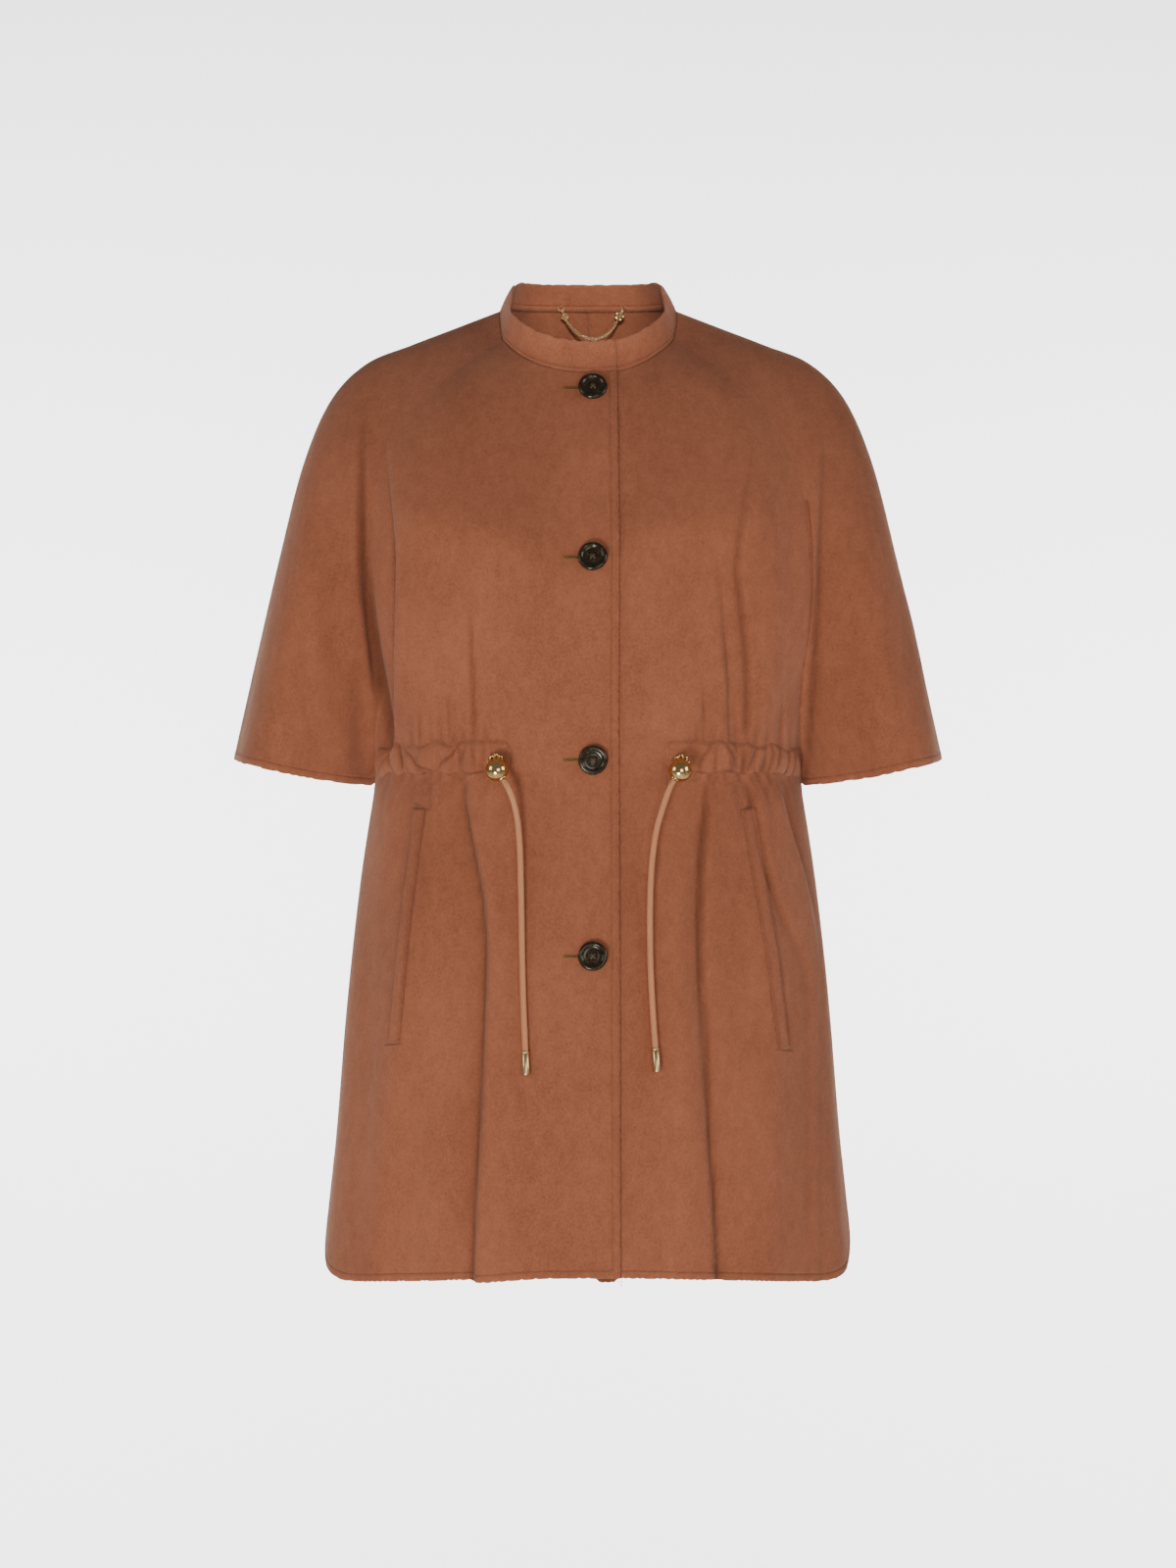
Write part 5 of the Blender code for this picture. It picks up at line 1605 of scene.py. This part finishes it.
collar_rows = []
for t in (0.16, 0.80):
    line, away, _ = collar_surface([t])
    collar_rows.append((line[0][4:-4], away[4:-4]))
add_stitches("topstitch_collar", collar_rows)

casing_rows = []
for casing in casings.values():
    for column in (1, -2):
        casing_rows.append((casing["outer"][1:, column], casing["normal"][1:, column]))
for side in SIDE_NAMES:
    casing = casings[FRONT, side]
    casing_rows.append((casing["outer"][2, 2:-2], casing["normal"][2, 2:-2]))
add_stitches("topstitch_casing", casing_rows, sink=0.0)

welt_rows = []
for welt in welts.values():
    for column in (2, -3):
        welt_rows.append((welt["outer"][2:-2, column], welt["normal"][2:-2, column]))
add_stitches("topstitch_welts", welt_rows, sink=0.0)

bars = []
for side, ((x0, z0), (x1, z1)) in WELT_ENDS.items():
    for start, end in (((x1 + 8.0, z1 - 1 - side), (x1 - 8.0, z1 - 1 + side)),
                       ((x0 - 1 + 4 * side, z0 + 4), (x0 + 3 - 6 * side, z0 - 2))):
        x, height = (np.linspace(*pair, 12) for pair in zip(start, end))
        bars.append(on_cloth(FRONT, side, x, height))
add_stitches("welt_bars", bars, pitch=1.5, length=2.2, radius=0.62, sink=-0.1)


# %% [markdown]
# ## Buttons and buttonholes
#
# A coat button is turned from a rod: a raised round rim, a step down to a dish, and four holes. The
# thread crosses in the middle. Each buttonhole is cut level, with its edges closed by tight purl
# stitches in amber thread and a bar at its outer end; the button hides its inner half.

# %% Button shape
BUTTON_SIDE, BUTTON_RADIUS, BUTTON_THICK = 4.0, 12.1, 4.0
# height: tilt to a side and up, in degrees
BUTTON_TILTS = {-75.0: (0.0, 7.0), -218.0: (-4.0, 2.5), -382.0: (1.5, -1.0), -543.0: (-2.0, 1.0)}
HOLE_PLACE, HOLE_RADIUS = 2.3, 1.05


def button_frame(height):
    """Middle of the button's back, its facing, and the directions to its side and its top. A sewn
    button tilts a few degrees on its thread, to a side and up."""
    place, normal = on_cloth(FRONT, RIGHT, np.array([BUTTON_SIDE]), np.array([height]))
    to_side, up = np.tan(np.radians(BUTTON_TILTS[height]))
    facing = unit(np.array((to_side, normal[0, 1], normal[0, 2] + up)))
    top = unit(np.cross((1.0, 0.0, 0.0), facing))
    lift = 0.75 + 6.0 * (abs(to_side) + abs(up))
    return place[0] + facing * lift, facing, np.cross(facing, top), top


def drilled(body_mesh, holes_mesh):
    """The body with the holes cut through it, by a Boolean whose result is kept."""
    body = bpy.data.objects.new("blank", body_mesh)
    cutter = bpy.data.objects.new("drill", holes_mesh)
    for made in (body, cutter):
        bpy.context.scene.collection.objects.link(made)
    cut = body.modifiers.new("holes", "BOOLEAN")
    cut.operation, cut.object, cut.solver = "DIFFERENCE", cutter, "EXACT"
    graph = bpy.context.evaluated_depsgraph_get()
    result = bpy.data.meshes.new_from_object(body.evaluated_get(graph))
    for made in (body, cutter):
        bpy.data.objects.remove(made)
    result.shade_smooth()
    result.set_sharp_from_angle(angle=math.radians(40))
    return result


def make_button(number, height):
    """A rim round a dish, with four holes. Returns the button's frame."""
    place, facing, side, top = button_frame(height)
    r, h = BUTTON_RADIUS, BUTTON_THICK
    profile = [
        (0, h - 1.75), (3.4, h - 1.72), (4.6, h - 1.62), (5.0, h - 1.7), (6.6, h - 1.6),
        (7.6, h - 1.4), (8.3, h - 1.05), (8.65, h - 0.6), (9.0, h - 0.3), (9.45, h - 0.09),
        (10.0, h), (10.6, h - 0.07), (11.1, h - 0.3), (11.55, h - 0.72), (r - 0.2, h - 1.3),
        (r, h - 2.2), (r - 0.2, h - 2.9), (11.2, h - 3.5), (10.4, 0.05), (9.0, 0), (0, 0),
    ]
    body = make_mesh("button_body", *turned(profile, 72, place, facing))
    body = outward_faces(body, poles=True)
    drill = [(0, 6), (HOLE_RADIUS, 6), (HOLE_RADIUS, -2), (0, -2)]
    drills = [
        turned(drill, 20, place + side * x * HOLE_PLACE + top * y * HOLE_PLACE, facing)
        for x, y in ((1, 1), (1, -1), (-1, 1), (-1, -1))
    ]
    holes = outward_faces(make_mesh("button_drills", *joined(drills)), poles=True)
    mesh = drilled(body, holes)
    mesh.materials.clear()
    add_piece(f"horn_button_{number}", mesh, horn, "horn", f"button_{number}")
    return place, facing, side, top


button_places = [make_button(n, height) for n, height in enumerate(BUTTON_TILTS, 1)]


# %% Button thread
def strand(start, end, rise, facing):
    """A thread from hole to hole: it rises by rise * sin(pi t) - 1.4 (1 - sin(pi t))^3 over the
    straight line, and is a round tube."""
    t = np.linspace(0, 1, 14)[:, None]
    arch = np.sin(math.pi * t)
    path = start + (end - start) * t + facing * (rise * arch - 1.4 * (1 - arch) ** 3)
    return tube(path, distances(path), 0.27, 8, unit(np.cross(facing, end - start)))[:2]


threads = []
for place, facing, side, top in button_places:
    base = place + facing * (BUTTON_THICK - 1.6)
    for x in (-1, 1):
        start = base + (side * x + top) * HOLE_PLACE
        end = base - (side * x + top) * HOLE_PLACE
        across = unit(np.cross(facing, end - start))
        for k in (-1, 0, 1):
            threads.append(strand(start + across * 0.5 * k, end + across * 0.5 * k,
                                  0.45 + 0.35 * (x > 0) + 0.1 * (k == 0), facing))
add_piece("button_threads", make_mesh("button_threads", *joined(threads)), brown_thread, "wool")


# %% Buttonholes
HOLE_END, HOLE_START = -20.0, 6.0  # x of the outer and the inner end


def buttonhole(height):
    """Two rows of upright purl grains beside the slit, and a bar across its outer end."""
    x = np.linspace(HOLE_END, HOLE_START, 33)
    parts = []
    for above in (-1, 1):
        start, normal = on_cloth(FRONT, RIGHT, x, height + 0.1 * above)
        end, _ = on_cloth(FRONT, RIGHT, x, height + 1.7 * above)
        for a, b, n in zip(start, end, normal):
            path = np.array([a, (a + b) / 2, b]) + n * 0.12
            parts.append(stitches(path, np.array([n, n, n]), pitch=9, length=1.9, radius=0.44,
                                  sink=0.0))
    bar_z = np.linspace(height - 2.0, height + 2.0, 5)
    for dx in (-0.5, 0.2):
        path, normal = on_cloth(FRONT, RIGHT, HOLE_END + dx, bar_z)
        parts.append(stitches(path + normal * 0.15, normal, pitch=9, length=4.2, radius=0.42,
                              sink=0.0))
    return joined(parts)


def slit(height):
    """Painted shade in the cut between the purls: a flat dark tube along it."""
    x = np.linspace(HOLE_END + 1.5, HOLE_START, 16)
    path, normal = on_cloth(FRONT, RIGHT, x, height)
    return tube(path + normal * 0.45, distances(path), 0.42, 6)[:2]


holes = joined([buttonhole(height) for height in BUTTON_TILTS])
add_piece("buttonhole_purls", make_mesh("buttonhole_purls", *holes), amber_thread, "wool")
# painted shade: a dark tube in brown thread stands for the shade in each slit
slits = joined([slit(height) for height in BUTTON_TILTS])
add_piece("buttonhole_slits", make_mesh("buttonhole_slits", *slits), brown_thread, "wool")


# %% [markdown]
# ## Ball stops, eyelets and hanger chain
#
# The stop is a hollow metal ball on a spring: the cord comes out of a lipped hole low on its side.
# Behind it the cord leaves the casing through an eyelet with a ring of petals, which shows as a
# small crown above the ball. The hanger is a fine cable chain: oval links, each turned a quarter
# against the last, between two small flowers. Each flower hangs just below its seat on the collar.

# %% Ball stops
STOP_PLACES = {"right": (-74.5, -115.8, -390.5), "left": (75.5, -115.6, -391.0)}
STOP_RADIUS = 9.5


def make_stop(name):
    """A sphere about the cord's way out, with a lip round the hole."""
    place = np.array(STOP_PLACES[name])
    out = unit(tails[name][1][2] - place)
    angle = np.linspace(math.radians(20.5), math.pi, 60)
    ball = [(STOP_RADIUS * math.sin(a), STOP_RADIUS * math.cos(a)) for a in angle]
    lip = [(2.9, 8.0), (2.9, 9.2), (3.05, 9.45), (3.3, 9.5), (3.5, 9.3), (3.5, 9.0)]
    profile = [(0, 8.0), *lip, *ball[1:-1], (0, -STOP_RADIUS)]
    mesh = make_mesh(f"ball_stop_{name}", *turned(profile, 72, place, out))
    mesh = outward_faces(mesh, poles=True)
    add_piece(f"ball_stop_{name}", mesh, gold, "gold_metal", f"cord_stop_{name}")


for name in STOP_PLACES:
    make_stop(name)


# %% Petal eyelets
EYELET_PLACES = {"right": (-75.0, -383.0), "left": (75.5, -383.5)}
UPRIGHT = np.array((0.0, 0.0, 1.0))


def petal_ring(place, facing, up, petals, inner, outer, thick, dish=0.0):
    """A ring on polar coordinates: outwards the radius runs from inner to outer * (0.8 + 0.2 *
    |cos(petals * angle / 2)|), and the height is a half sine, pinched between the petals."""
    angle = np.linspace(0, 2 * math.pi, 16 * petals, endpoint=False)
    turn = np.concatenate([np.linspace(0, math.pi, 13), [math.pi * 1.5]])
    side = unit(np.cross(up, facing))
    up = np.cross(facing, side)
    petal = np.abs(np.cos(petals * angle / 2))
    reach = outer * (0.80 + 0.20 * petal**0.7)
    radius = inner + (reach[:, None] - inner) * (1 - np.cos(turn[None])) / 2
    height = thick * (0.55 + 0.45 * petal[:, None]) * np.sin(turn[None])
    height = np.where(turn[None] > math.pi, 0.0, height) + dish * (radius / outer) ** 2
    ring = np.cos(angle)[:, None] * side + np.sin(angle)[:, None] * up
    points = place + radius[..., None] * ring[:, None] + height[..., None] * facing
    return points.reshape(-1, 3), ring_quads(*radius.shape, closed=True)


for side, name in SIDE_NAMES.items():
    x, height = EYELET_PLACES[name]
    place, normal = on_cloth(FRONT, side, x, height)
    ring = petal_ring(place + normal * 2.6, normal, UPRIGHT, 8, 3.2, 7.4, 1.9, dish=1.6)
    mesh = outward_faces(make_mesh(f"petal_eyelet_{name}", *ring))
    add_piece(f"petal_eyelet_{name}", mesh, gold, "gold_metal", f"eyelet_{name}")


# %% Hanger chain
# x and height of each end on the collar, and the reach of its flower's petals
CHAIN_ENDS = {"right": (-23.5, 10.5, 3.5), "left": (31.0, 10.5, 4.6)}
CHAIN_ROUTE = (
    (-18.2, 57, -1.5), (-12, 57, -9), (-3.5, 57, -14.5), (6, 57, -16.5),
    (14, 57, -14), (20.5, 56.6, -8.5), (25, 55.6, -1.5),
)
LINK_LENGTH, LINK_WIDTH, LINK_WIRE, LINK_STEP = 4.0, 3.0, 0.5, 2.9


def chain_links(path):
    """Each link is a torus stretched along the path: (a cos u, b sin u) for the wire's middle, and
    the wire's circle about it. Even links lean half a quarter one way about the path, odd ones the
    other way, as in a chain that hangs freely."""
    even, _ = even_path(path, LINK_STEP)
    tangent, side, normal = frames_along(even, (0.0, 1.0, 0.0))
    u = np.linspace(0, 2 * math.pi, 20, endpoint=False)
    w = np.linspace(0, 2 * math.pi, 8, endpoint=False)
    long, wide = LINK_LENGTH / 2 - LINK_WIRE, LINK_WIDTH / 2 - LINK_WIRE
    middle = np.stack([long * np.cos(u), wide * np.sin(u)], axis=1)
    out = np.stack([np.cos(u), np.sin(u)], axis=1)
    wire = LINK_WIRE * np.cos(w)
    flat = middle[:, None] + out[:, None] * wire[None, :, None]
    lift = np.broadcast_to(LINK_WIRE * np.sin(w), flat.shape[:2])
    faces = ring_quads(*lift.shape, closed=True)[:, [0, 3, 2, 1]]
    lean = np.where(np.arange(len(even)) % 2, -1, 1)[:, None]
    across, thick = (side + lean * normal) / math.sqrt(2), (normal - lean * side) / math.sqrt(2)
    points = (
        even[:, None, None] + flat[None, ..., :1] * tangent[:, None, None]
        + flat[None, ..., 1:] * across[:, None, None] + lift[None, ..., None] * thick[:, None, None]
    )
    every = faces[None] + (np.arange(len(even)) * lift.size)[:, None, None]
    return points.reshape(-1, 3), every.reshape(-1, 4)


collar_tree = BVHTree.FromPolygons(
    [v.co for v in collar.data.vertices], [p.vertices for p in collar.data.polygons]
)


def make_flower(name, beside):
    """A round seat on the collar, and a flower with a bead in it that hangs part of the way to the
    chain's nearest point. Returns where the chain begins."""
    x, height, reach = CHAIN_ENDS[name]
    place, normal, _, _ = collar_tree.ray_cast(Vector((x, 0, height)) * MM, Vector((0, 1.0, 0)))
    place, normal, beside = np.array(place) / MM, np.array(normal), np.array(beside)
    seat = petal_ring(place + normal * 0.9, normal, UPRIGHT, 12, 1.7, 3.0, 0.9)
    bloom = place + (beside - place) * 0.62 + normal * 0.6
    petals = petal_ring(bloom, normal, np.array((0.2, 0, 1.0)), 5, 0.8, reach, 1.6, dish=0.6)
    turn = np.linspace(0, math.pi, 13)
    profile = np.stack([1.5 * np.sin(turn), 1.0 + 1.5 * np.cos(turn)], axis=1)
    bead = turned(profile, 16, bloom + normal * 0.6, normal)
    mesh = make_mesh(f"hanger_flower_{name}", *joined([seat, petals, bead]))
    mesh = outward_faces(mesh, poles=True)
    add_piece(f"hanger_flower_{name}", mesh, soft_gold, "gold_metal", f"chain_fitting_{name}")
    begin = place + normal * 1.2
    return begin + unit(beside - begin) * 2.6


first, last = make_flower("right", CHAIN_ROUTE[0]), make_flower("left", CHAIN_ROUTE[-1])
chain = chain_links(np.array([first, *CHAIN_ROUTE, last]))
chain_mesh = outward_faces(make_mesh("hanger_links", *chain))
add_piece("hanger_links", chain_mesh, soft_gold, "gold_metal", "hanger_chain")
